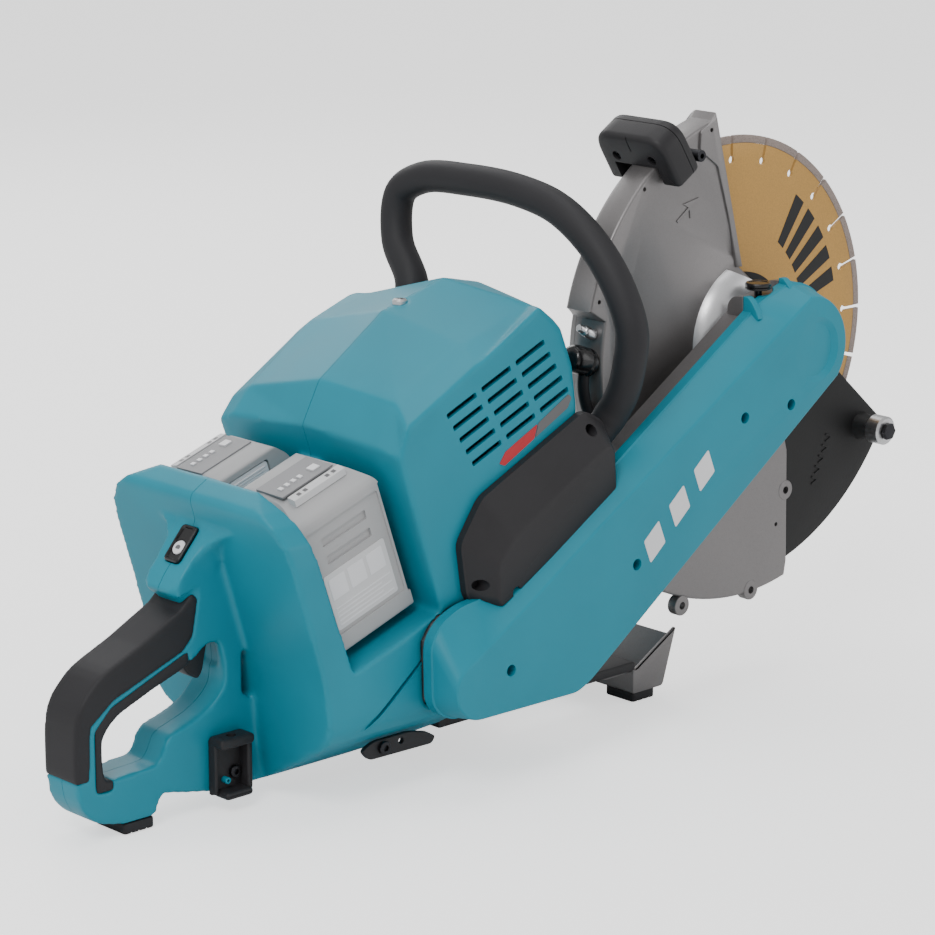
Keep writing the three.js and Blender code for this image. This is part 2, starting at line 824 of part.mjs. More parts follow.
// ---- spindle, flanges and cutting wheel ----
const spindle = cut(
  join(rod(AXLE, BEARING.inner, -130, -42.5, 20), rod(AXLE, 11, -92.5, -79.5, 20)),
  rod(AXLE, 5.3, -64, -30, 12),
);
piece('spindle', spindle, STEEL);
const wheelLow = WHEEL_Y - WHEEL_THICKNESS / 2;
const wheelHigh = WHEEL_Y + WHEEL_THICKNESS / 2;
const ARBOR = 12.4;
const innerFlange = join(
  washer(AXLE, 38, BEARING.inner + GAP, wheelLow - 7, wheelLow - GAP, 28),
  washer(AXLE, ARBOR, BEARING.inner + GAP, wheelLow - 7, wheelHigh, 20),
);
piece('inner_flange', innerFlange, STEEL);
piece(
  'outer_flange',
  washer(AXLE, 36, BEARING.inner + GAP, wheelHigh + GAP, wheelHigh + 4.5, 28),
  STEEL,
);
const wheelBolt = join(rod(AXLE, 12, -42.1, -34, 6), rod(AXLE, 5, -60, -42, 12));
piece('wheel_bolt', wheelBolt, DARK_STEEL);

const SLOT = { width: 1.6, depth: 14, eye: 3 };
const segmentStep = 360 / WHEEL_SEGMENTS;
const wheelEdge = [];
for (let i = 0; i < WHEEL_SEGMENTS; i += 1) {
  const middle = i * segmentStep;
  const half = THREE.MathUtils.radToDeg(SLOT.width / WHEEL_RADIUS);
  const eyeAt = polar(AXLE.x, AXLE.z, WHEEL_RADIUS - SLOT.depth, middle);
  wheelEdge.push(...aboutAxle(WHEEL_RADIUS, middle - segmentStep + half, middle - half, 3));
  wheelEdge.push(...arc(...eyeAt, SLOT.eye, middle - 30, middle - 330, 5));
}
const wheel = cut(
  plate(wheelEdge, wheelLow, wheelHigh),
  rod(AXLE, ARBOR + GAP, wheelLow - 1, wheelHigh + 1, 20),
);
piece('cutting_wheel', wheel, GOLD);

// ---- wheel guard ----
const GUARD_WALL = 3.5;
const RIM = 176;
const STEP_RIM = 158;
const LOBE = 206;
const SHOULDER = { y: -48, drop: 20, stepDrop: 6 }; // the rim falls away towards the left face
const guardAt = (drop, stepDrop) => [
  [514, 452 - drop],
  ...aboutAxle(RIM - drop, 104, 166, 10),
  ...aboutAxle(STEP_RIM - stepDrop, 168, 200, 5),
  ...aboutAxle(LOBE, 222, 284, 10),
  [604, 88],
  [602, 178],
  [592, 212],
  ...aboutAxle(62, -40, 90, 8),
];
const guardInsideAt = (drop, stepDrop) => [
  [600, 470 - drop],
  [514, 448 - drop],
  ...aboutAxle(RIM - GUARD_WALL - drop, 104, 163.5, 10),
  ...aboutAxle(STEP_RIM - GUARD_WALL - stepDrop, 168.5, 200, 5),
  ...aboutAxle(LOBE - GUARD_WALL, 222, 289, 10),
  [740, 60],
  [740, 300],
];
const guardBody = loft([
  { corners: guardAt(0, 0), y: GUARD_Y[0] },
  { corners: guardAt(0, 0), y: SHOULDER.y },
  { corners: guardAt(SHOULDER.drop, SHOULDER.stepDrop), y: GUARD_Y[1] },
]);
const guardHollow = loft([
  { corners: guardInsideAt(0, 0), y: GUARD_Y[0] + GUARD_WALL },
  { corners: guardInsideAt(0, 0), y: SHOULDER.y + 1 },
  { corners: guardInsideAt(SHOULDER.drop - 3, SHOULDER.stepDrop - 1), y: GUARD_Y[1] - GUARD_WALL },
]);
const GUARD_SEAM = -38;
const LUGS = [
  { x: 484, z: 75, depth: 8 },
  { x: 562, z: 72, depth: 8 },
  { x: 600, z: 146, depth: GUARD_WALL },
];
const guardShell = cut(
  join(
    guardBody,
    plate(
      [
        [519, 448],
        [516, 453, 2],
        [499, 447],
        [500, 402],
        [521, 384],
        [528, 334],
        [547, 334],
      ],
      GUARD_Y[0] - 2,
      GUARD_Y[0] + 1,
    ),
    washer(AXLE, 60, 31, GUARD_Y[0] - 15, GUARD_Y[0] + 1, 32),
    ...LUGS.map((at) => rod(at, 8, GUARD_Y[0], GUARD_Y[0] + at.depth, 14)),
  ),
  guardHollow,
  rod(AXLE, 30, GUARD_Y[0] - 20, GUARD_Y[0] + 10, 28),
  ...LUGS.map((at) => rod(at, 3, GUARD_Y[0] - 10, GUARD_Y[0] + 10, 10)),
);
const RETRACT_JOURNAL = 43;
const guardRight = join(
  common(guardShell, block(300, 700, -100, GUARD_SEAM - GAP / 2, 0, 500)),
  washer(AXLE, RETRACT_JOURNAL, 34, GUARD_Y[0] + 2, GUARD_Y[0] + 9.4, 32),
);
piece('guard_right', guardRight, CASTING);
const guardLeft = cut(
  common(guardShell, block(300, 700, GUARD_SEAM + GAP / 2, 0, 0, 500)),
  rod(AXLE, 50, -60, 0, 32),
);
piece('guard_left', guardLeft, CASTING);

// Saddle grip over the rim: built upright round the origin, then leaned back to stand on the rim.
const GRIP = { lean: THREE.MathUtils.degToRad(32.3), radius: 180.5, half: 13, height: 22.5, y: [-88, -17] };
const onRim = (geometry) =>
  geometry
    .rotateY(-GRIP.lean)
    .translate(AXLE.x - GRIP.radius * Math.sin(GRIP.lean), 0, AXLE.z + GRIP.radius * Math.cos(GRIP.lean));
const gripSide = plate(
  [
    [-GRIP.half, -GRIP.height, 4],
    [GRIP.half, -GRIP.height, 4],
    [GRIP.half, GRIP.height, 8],
    [-GRIP.half, GRIP.height, 8],
  ],
  ...GRIP.y,
  3,
);
const gripArch = frontPlate(
  [
    [GRIP.y[0], -GRIP.height, 4],
    [GRIP.y[1], -GRIP.height, 4],
    [GRIP.y[1], GRIP.height, 17],
    [GRIP.y[0], GRIP.height, 17],
  ],
  -GRIP.half,
  GRIP.half,
  4,
);
const guardEnvelope = plate(
  offset([[514, 452], ...aboutAxle(RIM, 104, 166, 10), [AXLE.x, AXLE.z]], GAP + 0.2),
  GUARD_Y[0] - 2.5,
  GUARD_Y[1] + GAP + 0.2,
);
const GRIP_SCREW = { side: 18, height: 2, radius: 4, depth: 7 };
const gripMiddle = (GRIP.y[0] + GRIP.y[1]) / 2;
const screwRecess = (y) => {
  const hole = new THREE.CylinderGeometry(GRIP_SCREW.radius, GRIP_SCREW.radius, 2 * GRIP_SCREW.depth, 12);
  return onRim(hole.rotateZ(Math.PI / 2).translate(-GRIP.half, y, GRIP_SCREW.height));
};
const guardGrip = cut(
  common(onRim(gripSide), onRim(gripArch)),
  guardEnvelope,
  screwRecess(gripMiddle - GRIP_SCREW.side),
  screwRecess(gripMiddle + GRIP_SCREW.side),
);
piece('guard_grip', guardGrip, RUBBER);
// Socket bolt in front of the grip's right leg, screwed into the guard's face.
const CLAMP = { x: 480, z: 425, radius: 4.4, socket: 2.2 };
piece(
  'guard_clamp_bolt',
  cut(
    rod(CLAMP, CLAMP.radius, GRIP.y[0] + 1, GUARD_Y[0] - GAP, 14),
    rod(CLAMP, CLAMP.socket, GRIP.y[0] - 2, GRIP.y[0] + 5, 6),
  ),
  DARK_STEEL,
);

// Water supply for wet cutting: a fitting on the guard with its hose and nipple.
const FITTING = { x: 394, z: 286 };
piece('water_fitting', rod(FITTING, 9, -86, GUARD_Y[0] - GAP, 16), BLACK);
const hosePath = new THREE.CatmullRomCurve3([
  new THREE.Vector3(403.6, -78, 290),
  new THREE.Vector3(417, -78, 298),
  new THREE.Vector3(428, -77, 312),
  new THREE.Vector3(434, -76, 330),
]);
piece('water_hose', tubeAlong(hosePath, 4.2, 0, 8, 8), BLACK);
const nipple = new THREE.CylinderGeometry(4, 5.5, 18, 14).rotateZ(THREE.MathUtils.degToRad(62));
piece('water_nipple', nipple.translate(376.6, -78, 295.2), STEEL);

// ---- retractable lower guard and its roller ----
const RETRACT_Y = [-63.5, -37.4];
const RETRACT_RADIUS = 196.5;
const retractSector = (inner) => [
  ...aboutAxle(inner, -96, -8, 6),
  polar(AXLE.x, AXLE.z, 125, -21.6),
  polar(AXLE.x, AXLE.z, 192, -28.6),
  ...aboutAxle(RETRACT_RADIUS, -30, -88, 10),
];
const ROLLER = { x: 697, z: 181 };
const retractHollow = [
  [AXLE.x, AXLE.z],
  [760, 260],
  ...aboutAxle(RETRACT_RADIUS - 3, -22, -95, 12),
];
const retract = cut(
  join(
    cut(
      plate(retractSector(52), ...RETRACT_Y),
      plate(retractHollow, RETRACT_Y[0] + 2.6, RETRACT_Y[1] - 2.4),
      rod(AXLE, 100, RETRACT_Y[0] + 1.8, 0, 28),
    ),
    washer(AXLE, 60, RETRACT_JOURNAL + GAP, RETRACT_Y[0], RETRACT_Y[0] + 2.6, 28),
    rod(ROLLER, 9, -75.6, RETRACT_Y[0] + 1, 16),
  ),
  rod(ROLLER, 4.3, -80, -50, 12),
  rod(AXLE, RETRACT_JOURNAL + GAP, -80, -20, 28),
);
piece('lower_guard', retract, BLACK);
const rollerBolt = join(rod(ROLLER, 7, -94, -90.4, 6), rod(ROLLER, 4, -91, -62, 12));
piece('roller_bolt', rollerBolt, DARK_STEEL);
piece('guard_roller', washer(ROLLER, 11.5, 4.3, -90, -76, 20), STEEL);

// ---- handle mount cover on the right side ----
const SIDE_COVER_Y = [-128, -BODY_HALF - GAP];
const sideBase = [
  [203, 187],
  [222, 207],
  [262, 223],
  [338, 258],
  [354, 256],
  [356, 216],
  [250, 151],
  [214, 149],
  [193, 172],
];
const sideFace = [
  [217, 182],
  [232, 192],
  [268, 206],
  [336, 240],
  [346, 238],
  [346, 220],
  [250, 160],
  [220, 158],
  [208, 172],
];
const sideCover = cut(
  loft([
    { corners: sideFace, y: SIDE_COVER_Y[0] },
    { corners: sideBase, y: SIDE_COVER_Y[0] + 12 },
    { corners: sideBase, y: SIDE_COVER_Y[1] },
  ]),
  plate(offset(sideFace, -2), SIDE_COVER_Y[0] + 2.4, 0),
  handleBore,
);
piece('side_cover', sideCover, BLACK);

// ---- feet, rail and leg ----
piece('rear_foot', block(-13, 13, -17, 17, 0, 7.9), RUBBER);
const FOOT = { x0: 450, x1: 474, y0: 22, y1: 52, height: 8 };
piece('front_foot_right', block(FOOT.x0, FOOT.x1, -FOOT.y1, -FOOT.y0, 0, FOOT.height), RUBBER);
piece('front_foot_left', block(FOOT.x0, FOOT.x1, FOOT.y0, FOOT.y1, 0, FOOT.height), RUBBER);
const LEG = { back: 447, half: 55, wall: 3, sole: FOOT.height + GAP };
const legSide = [
  [LEG.back, LEG.sole],
  [480, LEG.sole],
  [494, 53],
  [451, 28],
  [LEG.back, 28],
];
const legTray = [
  [LEG.back + LEG.wall, FOOT.height + LEG.wall],
  [478, FOOT.height + LEG.wall],
  [510, 90],
  [LEG.back + LEG.wall, 90],
];
const TONGUE = { x0: 420, half: 50, z0: 24, z1: 28 };
const leg = join(
  cut(plate(legSide, -LEG.half, LEG.half), plate(legTray, -LEG.half + LEG.wall, LEG.half - LEG.wall)),
  block(TONGUE.x0, LEG.back + 1, -TONGUE.half, TONGUE.half, TONGUE.z0, TONGUE.z1),
);
piece('front_leg', leg, CASTING);
const RAIL = { x0: 242, x1: 446, inner: 34, outer: 58, z0: TONGUE.z1 + 0.4, z1: 35.6, cross: 20 };
const railBar = (x0, x1, y0, y1) => block(x0, x1, y0, y1, RAIL.z0, RAIL.z1);
const rail = join(
  railBar(RAIL.x0, RAIL.x1, RAIL.inner, RAIL.outer),
  railBar(RAIL.x0, RAIL.x1, -RAIL.outer, -RAIL.inner),
  railBar(RAIL.x0, RAIL.x0 + RAIL.cross, -RAIL.outer, RAIL.outer),
  railBar(TONGUE.x0, RAIL.x1, -RAIL.outer, RAIL.outer),
);
piece('base_rail', rail, BLACK);

// ---- accessories clipped to the body ----
const bracketOutline = [
  [145, 40, 3],
  [152, 32],
  [212, 31],
  [215, 36],
  [207, 41],
  [190, 45, 3],
  [156, 45, 3],
];
const BRACKET_SCREW = { x: 165, z: 39 };
const BRACKET_Y = -80;
const bracket = cut(
  plate(bracketOutline, BRACKET_Y - 4, BRACKET_Y),
  rod(BRACKET_SCREW, 3, -110, -70, 12),
  rod({ x: 182, z: 40 }, 2.5, -110, -70, 10),
);
piece('dolly_bracket', bracket, BLACK);
piece(
  'dolly_bracket_screw',
  join(
    rod(BRACKET_SCREW, 5, BRACKET_Y - 7, BRACKET_Y - 4 - GAP, 12),
    rod(BRACKET_SCREW, 2.6, BRACKET_Y - 5, BRACKET_Y, 10),
  ),
  DARK_STEEL,
);
const HOLDER = { x0: 60, x1: 90, z0: 10, z1: 55 };
const HOLDER_Y = [-34, -HANDLE_HALF - GAP];
const HOLDER_SCREW = { x: 80, z: 26 };
const WRENCH_BORE = { x: 74, y: -27, radius: 3.6 };
const holder = cut(
  block(HOLDER.x0, HOLDER.x1, ...HOLDER_Y, HOLDER.z0, HOLDER.z1),
  block(HOLDER.x0 + 4, HOLDER.x1 - 3, -50, HOLDER_Y[1] - 3, HOLDER.z0 + 6, HOLDER.z1 - 6),
  rod(HOLDER_SCREW, 2.6, -50, 0, 10),
  upright(WRENCH_BORE.radius, -10, 90, 14).translate(WRENCH_BORE.x, WRENCH_BORE.y, 0),
);
piece('wrench_holder', holder, BLACK);
piece('wrench_holder_screw', rod(HOLDER_SCREW, 4.6, -24.4, HOLDER_Y[1] - 3.3, 12), DARK_STEEL);

export default saw;
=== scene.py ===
import math

import bmesh
import bpy
from mathutils import Matrix, Vector


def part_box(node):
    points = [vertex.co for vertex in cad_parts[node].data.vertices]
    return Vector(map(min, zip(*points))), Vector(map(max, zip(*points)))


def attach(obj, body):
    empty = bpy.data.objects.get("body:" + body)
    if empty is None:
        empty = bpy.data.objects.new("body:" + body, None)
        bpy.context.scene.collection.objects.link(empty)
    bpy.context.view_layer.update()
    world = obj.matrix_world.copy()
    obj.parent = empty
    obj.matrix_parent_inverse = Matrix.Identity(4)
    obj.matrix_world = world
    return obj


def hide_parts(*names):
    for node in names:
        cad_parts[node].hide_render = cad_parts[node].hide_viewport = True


# Rescue saw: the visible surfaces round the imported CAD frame.
# Outlines are in millimetres in the CAD frame and become metres when a mesh is made.
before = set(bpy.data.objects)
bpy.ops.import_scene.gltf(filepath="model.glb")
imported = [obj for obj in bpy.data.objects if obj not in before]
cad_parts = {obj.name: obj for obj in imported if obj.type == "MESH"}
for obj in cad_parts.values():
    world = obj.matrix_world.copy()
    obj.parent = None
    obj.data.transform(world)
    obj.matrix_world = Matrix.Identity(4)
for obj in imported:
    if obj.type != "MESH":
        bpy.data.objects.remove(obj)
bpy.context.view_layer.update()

MM = 0.001
AXLE = (552, 276)  # x and z of the cutting wheel's spindle
MOTOR = (272, 100)  # x and z of the motor shaft
WHEEL_Y = -49
WHEEL_RADIUS = 152.5
GUARD_LOW, GUARD_HIGH, GUARD_SEAM = -70, -30, -38  # y of the guard's faces and of its parting line
GUARD_LUGS = ((484, 75, 8), (562, 72, 8), (600, 146, 5))  # x, z and depth of the bosses on the guard's foot
GUARD_CLAMP = (480, 425)  # x and z of the grip's clamp bolt
ROLLER = (697, 181)  # x and z of the lower guard's roller
LOCK = (531, -99)  # x and y of the spindle lock
COVER_FACE, COVER_BACK = -135, -104
BODY_HALF = 100
HANDLE_HALF = 18
LAMP_SLOPE = math.radians(49)
LEAN = math.radians(19)  # lean of the battery packs
PACK_X, PACK_Z, PACK_HALF, PACK_LENGTH = 160.5, 125, 38.5, 118
PACK_INNER, PACK_OUTER = 12, 82


# ---------------------------------------------------------------- outlines
def smooth(corners, steps=5):
    """Rounds each corner (a, b, cut) along a curve that starts cut before it and ends cut after it."""
    points = []
    for i, corner in enumerate(corners):
        here = Vector(corner[:2])
        cut = corner[2] if len(corner) > 2 else 0
        if not cut:
            points.append(here)
            continue
        ends = []
        for other in (corners[i - 1], corners[(i + 1) % len(corners)]):
            side = Vector(other[:2]) - here
            ends.append(here + side.normalized() * min(cut, side.length * 0.49))
        for k in range(steps + 1):
            t = k / steps
            points.append(ends[0] * (1 - t) ** 2 + here * 2 * t * (1 - t) + ends[1] * t * t)
    return [(p.x, p.y) for p in points]


def arc(centre, radius, start, stop, step=3.0):
    count = max(1, round(abs(stop - start) / step))
    angles = [math.radians(start + (stop - start) * i / count) for i in range(count + 1)]
    return [(centre[0] + radius * math.cos(a), centre[1] + radius * math.sin(a)) for a in angles]


def about_axle(radius, start, stop, step=2.0):
    return arc(AXLE, radius, start, stop, step)


def signed_area(points):
    return sum(p[0] * q[1] - q[0] * p[1] for p, q in zip(points, points[1:] + points[:1])) / 2


def offset(points, distance):
    """The outline moved outward by a distance, or inward by a negative one."""
    outward = distance if signed_area([p[:2] for p in points]) > 0 else -distance
    moved = []
    for i, point in enumerate(points):
        here = Vector(point[:2])
        before = (here - Vector(points[i - 1][:2])).normalized()
        after = (Vector(points[(i + 1) % len(points)][:2]) - here).normalized()
        normal = Vector((before.y + after.y, -before.x - after.x)).normalized()
        reach = outward / max(0.5, normal.dot(Vector((after.y, -after.x))))
        moved.append((here.x + normal.x * reach, here.y + normal.y * reach, *point[2:]))
    return moved


def tilted(origin, angle, a, b, y):
    """The 3-D point a along and b across from a place (x, z), in a frame turned by an angle."""
    return (origin[0] + a * math.cos(angle) - b * math.sin(angle), y,
            origin[1] + a * math.sin(angle) + b * math.cos(angle))


# ---------------------------------------------------------------- solids
def in_scene(name, data):
    obj = bpy.data.objects.new(name, data)
    bpy.context.scene.collection.objects.link(obj)
    return obj


def new_object(name, bm):
    bmesh.ops.recalc_face_normals(bm, faces=bm.faces)
    if bm.calc_volume(signed=True) < 0:
        bmesh.ops.reverse_faces(bm, faces=bm.faces)
    mesh = bpy.data.meshes.new(name)
    bm.to_mesh(mesh)
    bm.free()
    return in_scene(name, mesh)


def skin(rings):
    """A closed skin through rings of 3-D points in millimetres, each with the same number of points."""
    bm = bmesh.new()
    rows = [[bm.verts.new([c * MM for c in point]) for point in ring] for ring in rings]
    count = len(rows[0])
    for low, high in zip(rows, rows[1:]):
        for i in range(count):
            j = (i + 1) % count
            bm.faces.new((low[i], low[j], high[j], high[i]))
    bm.faces.new(list(reversed(rows[0])))
    bm.faces.new(rows[-1])
    return new_object("solid", bm)


def rounded_profile(low, high, edge, steps):
    """Pairs of (position, inset) from one end face to the other with both rims rounded by edge."""
    if not edge:
        return [(low, 0), (high, 0)]
    quarter = [math.radians(90 * i / steps) for i in range(steps + 1)]
    first = [(low + edge * (1 - math.sin(a)), edge * (1 - math.cos(a))) for a in reversed(quarter)]
    last = [(high - edge * (1 - math.sin(a)), edge * (1 - math.cos(a))) for a in quarter]
    return first + last


def extrude(outline, low, high, place, edge=0, steps=3, corner_steps=5):
    points = smooth(outline, corner_steps)
    rings = []
    for position, inset in rounded_profile(low, high, edge, steps):
        ring = offset(points, -inset) if inset else points
        rings.append([place(a, b, position) for a, b in (p[:2] for p in ring)])
    return skin(rings)


def plate(outline, low, high, edge=0, **more):
    """An outline of (x, z) between two y values."""
    return extrude(outline, low, high, lambda a, b, y: (a, y, b), edge, **more)


def front_plate(outline, low, high, edge=0, **more):
    """An outline of (y, z) between two x values."""
    return extrude(outline, low, high, lambda a, b, x: (x, a, b), edge, **more)


def floor_plate(outline, low, high, edge=0, **more):
    """An outline of (x, y) between two z values."""
    return extrude(outline, low, high, lambda a, b, z: (a, b, z), edge, **more)


def rectangle(a0, a1, b0, b1, cut=0):
    return [(a0, b0, cut), (a1, b0, cut), (a1, b1, cut), (a0, b1, cut)]


def block(x0, x1, y0, y1, z0, z1, edge=1.0):
    return plate(rectangle(x0, x1, z0, z1, edge * 1.6), y0, y1, edge, corner_steps=3)


def rod(centre, radius, y0, y1, edge=0, step=6.0):
    return plate(arc(centre, radius, 0, 360 - step, step), y0, y1, edge)


def lathe(centre, profile, step=5.0):
    """A body turned about a line along Y, from a profile of (radius, y) that starts and ends on the line."""
    sides = round(360 / step)
    rings = []
    for radius, y in profile:
        rings.append([(centre[0] + radius * math.cos(2 * math.pi * i / sides), y,
                       centre[1] + radius * math.sin(2 * math.pi * i / sides)) for i in range(sides)])
    return skin(rings)


def turned(obj, angle, axis, at=(0, 0, 0)):
    centre = Vector([c * MM for c in at])
    matrix = Matrix.Translation(centre) @ Matrix.Rotation(angle, 4, axis) @ Matrix.Translation(-centre)
    obj.data.transform(matrix)
    return obj


def moved(obj, x, y, z):
    obj.data.transform(Matrix.Translation((x * MM, y * MM, z * MM)))
    return obj


def twin_of(obj, name="twin"):
    return in_scene(name, obj.data.copy())


def copy_of(node):
    """A CAD node's mesh in a new object of its own."""
    copy = twin_of(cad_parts[node], node)
    copy.data.materials.clear()
    return copy


def discard(*objects):
    for obj in objects:
        bpy.data.objects.remove(obj)


def apply_modifiers(obj):
    bpy.context.view_layer.update()
    result = obj.evaluated_get(bpy.context.evaluated_depsgraph_get())
    mesh = bpy.data.meshes.new_from_object(result)
    obj.modifiers.clear()
    obj.data = mesh
    return obj


def gather(*objects):
    """One object with all the meshes in it."""
    bm = bmesh.new()
    for obj in objects:
        bm.from_mesh(obj.data)
    mesh = bpy.data.meshes.new("gathered")
    bm.to_mesh(mesh)
    bm.free()
    whole = in_scene("gathered", mesh)
    discard(*objects)
    return whole


def boolean(obj, operation, *tools):
    for tool in tools:
        modifier = obj.modifiers.new("boolean", "BOOLEAN")
        modifier.operation = operation
        modifier.object = tool
        modifier.solver = "MANIFOLD"
        apply_modifiers(obj)
    discard(*tools)
    return obj


def cut(obj, *tools):
    return boolean(obj, "DIFFERENCE", *tools)


def join(obj, *tools):
    return boolean(obj, "UNION", *tools)


def common(obj, *tools):
    return boolean(obj, "INTERSECT", *tools)


def soften(obj, voxel, rounds):
    """Moulded fillets: every edge and inside corner is blended over a few voxels."""
    remesh = obj.modifiers.new("remesh", "REMESH")
    remesh.mode = "VOXEL"
    remesh.voxel_size = voxel * MM
    blur = obj.modifiers.new("blur", "SMOOTH")
    blur.factor = 0.5
    blur.iterations = rounds
    return keep_largest(apply_modifiers(obj))


def keep_largest(obj):
    """Drops the inner skins that closing a hollow leaves behind."""
    bm = bmesh.new()
    bm.from_mesh(obj.data)
    waiting = set(bm.verts)
    groups = []
    while waiting:
        stack = [waiting.pop()]
        group = []
        while stack:
            group.append(stack.pop())
            near = {edge.other_vert(group[-1]) for edge in group[-1].link_edges} & waiting
            waiting -= near
            stack += near
        groups.append(group)
    groups.sort(key=len)
    spare = [v for group in groups[:-1] for v in group]
    bmesh.ops.delete(bm, geom=spare, context="VERTS")
    bm.to_mesh(obj.data)
    bm.free()
    return obj


def inflate(obj, distance):
    obj.data.update()
    normals = [v.normal.copy() for v in obj.data.vertices]
    for vert, normal in zip(obj.data.vertices, normals):
        vert.co += normal * distance * MM
    return obj


# ---------------------------------------------------------------- materials
def shader(name, color, roughness, metallic=0.0, coat=0.0):
    material = bpy.data.materials.new(name)
    material.use_nodes = True
    tree = material.node_tree
    surface = tree.nodes["Principled BSDF"]
    values = {"Base Color": (*color, 1), "Roughness": roughness, "Metallic": metallic,
              "Coat Weight": coat, "Coat Roughness": 0.25}
    for key, value in values.items():
        surface.inputs[key].default_value = value
    return material, tree, surface


def add_node(tree, kind, values, links=()):
    """A shader node with its input values and with (source, input) links into it."""
    node = tree.nodes.new(kind)
    for key, value in values.items():
        node.inputs[key].default_value = value
    for source, key in links:
        tree.links.new(source, node.inputs[key])
    return node


def texture(tree, kind, scale, detail=2.0, stretch=(1, 1, 1), shift=(0, 0, 0)):
    place = tree.nodes.new("ShaderNodeTexCoord")
    mapping = add_node(tree, "ShaderNodeMapping", {"Scale": stretch, "Location": shift},
                       [(place.outputs["Object"], "Vector")])
    node = add_node(tree, kind, {"Scale": scale}, [(mapping.outputs["Vector"], "Vector")])
    if "Detail" in node.inputs:
        node.inputs["Detail"].default_value = detail
    return node


def ramp(tree, source, stops):
    node = tree.nodes.new("ShaderNodeValToRGB")
    for element, (position, color) in zip(node.color_ramp.elements, stops):
        element.position = position
        element.color = (*color, 1)
    tree.links.new(source, node.inputs["Fac"])
    return node.outputs["Color"]


def shade(color, factor):
    return tuple(min(1.0, c * factor) for c in color)


def tint(tree, surface, source, color, spread):
    stops = ((0.3, shade(color, 1 - spread)), (0.7, shade(color, 1 + spread)))
    tree.links.new(ramp(tree, source, stops), surface.inputs["Base Color"])


def vary_roughness(tree, surface, source, low, high):
    node = add_node(tree, "ShaderNodeMapRange", {"To Min": low, "To Max": high}, [(source, "Value")])
    tree.links.new(node.outputs["Result"], surface.inputs["Roughness"])


def relief(tree, surface, source, strength, depth):
    node = add_node(tree, "ShaderNodeBump", {"Strength": strength, "Distance": depth}, [(source, "Height")])
    tree.links.new(node.outputs["Normal"], surface.inputs["Normal"])


def moulded(name, color, roughness=0.45, grain=1500, strength=0.12, spread=0.05, coat=0.0):
    """Spark-eroded plastic: a fine grain, cloudy gloss and a slight drift of colour."""
    material, tree, surface = shader(name, color, roughness, 0.0, coat)
    surface.inputs["Specular IOR Level"].default_value = 0.35
    clouds = texture(tree, "ShaderNodeTexNoise", 14, 3)
    fine = texture(tree, "ShaderNodeTexNoise", grain, 2)
    tint(tree, surface, clouds.outputs["Fac"], color, spread)
    vary_roughness(tree, surface, clouds.outputs["Fac"], roughness - 0.07, roughness + 0.07)
    relief(tree, surface, fine.outputs["Fac"], strength, 0.0004)
    return material


def rubber(name, color):
    """Soft overmould with a leathery pebble."""
    material, tree, surface = shader(name, color, 0.6)
    surface.inputs["Specular IOR Level"].default_value = 0.35
    pebble = texture(tree, "ShaderNodeTexVoronoi", 1100)
    clouds = texture(tree, "ShaderNodeTexNoise", 22, 4)
    tint(tree, surface, clouds.outputs["Fac"], color, 0.12)
    vary_roughness(tree, surface, clouds.outputs["Fac"], 0.48, 0.68)
    relief(tree, surface, pebble.outputs["Distance"], 0.1, 0.0003)
    return material


def cast_metal(name, color, roughness=0.42):
    """Die-cast aluminium under silver paint: flake sparkle over a faint orange peel."""
    material, tree, surface = shader(name, color, roughness, 0.7, 0.2)
    flakes = texture(tree, "ShaderNodeTexVoronoi", 2600)
    peel = texture(tree, "ShaderNodeTexNoise", 420, 3)
    tint(tree, surface, flakes.outputs["Color"], color, 0.1)
    vary_roughness(tree, surface, peel.outputs["Fac"], roughness - 0.08, roughness + 0.1)
    relief(tree, surface, peel.outputs["Fac"], 0.08, 0.0003)
    return material


def machined(name, color, roughness, stretch=(60, 1, 60)):
    """Turned or drawn metal with fine tool lines."""
    material, tree, surface = shader(name, color, roughness, 1.0)
    lines = texture(tree, "ShaderNodeTexNoise", 40, 3, stretch)
    tint(tree, surface, lines.outputs["Fac"], color, 0.12)
    vary_roughness(tree, surface, lines.outputs["Fac"], roughness - 0.08, roughness + 0.12)
    relief(tree, surface, lines.outputs["Fac"], 0.06, 0.0002)
    return material


def lacquered_disc(name, color):
    """Gold lacquer over a ground steel disc: rings of grinding marks round the spindle."""
    material, tree, surface = shader(name, color, 0.42, 0.35, 0.3)
    centre = (-AXLE[0] * MM, 0, -AXLE[1] * MM)
    rings = texture(tree, "ShaderNodeTexWave", 260, 3, (1, 0, 1), centre)
    rings.wave_type = "RINGS"
    rings.rings_direction = "SPHERICAL"
    rings.inputs["Distortion"].default_value = 1.5
    speckle = texture(tree, "ShaderNodeTexNoise", 900, 3)
    tint(tree, surface, speckle.outputs["Fac"], color, 0.1)
    vary_roughness(tree, surface, speckle.outputs["Fac"], 0.34, 0.52)
    relief(tree, surface, rings.outputs["Fac"], 0.05, 0.0002)
    return material


def grit(name, color):
    """Sintered segment: diamond grit in a grey bond."""
    material, tree, surface = shader(name, color, 0.75, 0.2)
    grains = texture(tree, "ShaderNodeTexVoronoi", 1300)
    tint(tree, surface, grains.outputs["Color"], color, 0.35)
    relief(tree, surface, grains.outputs["Distance"], 0.5, 0.0005)
    return material


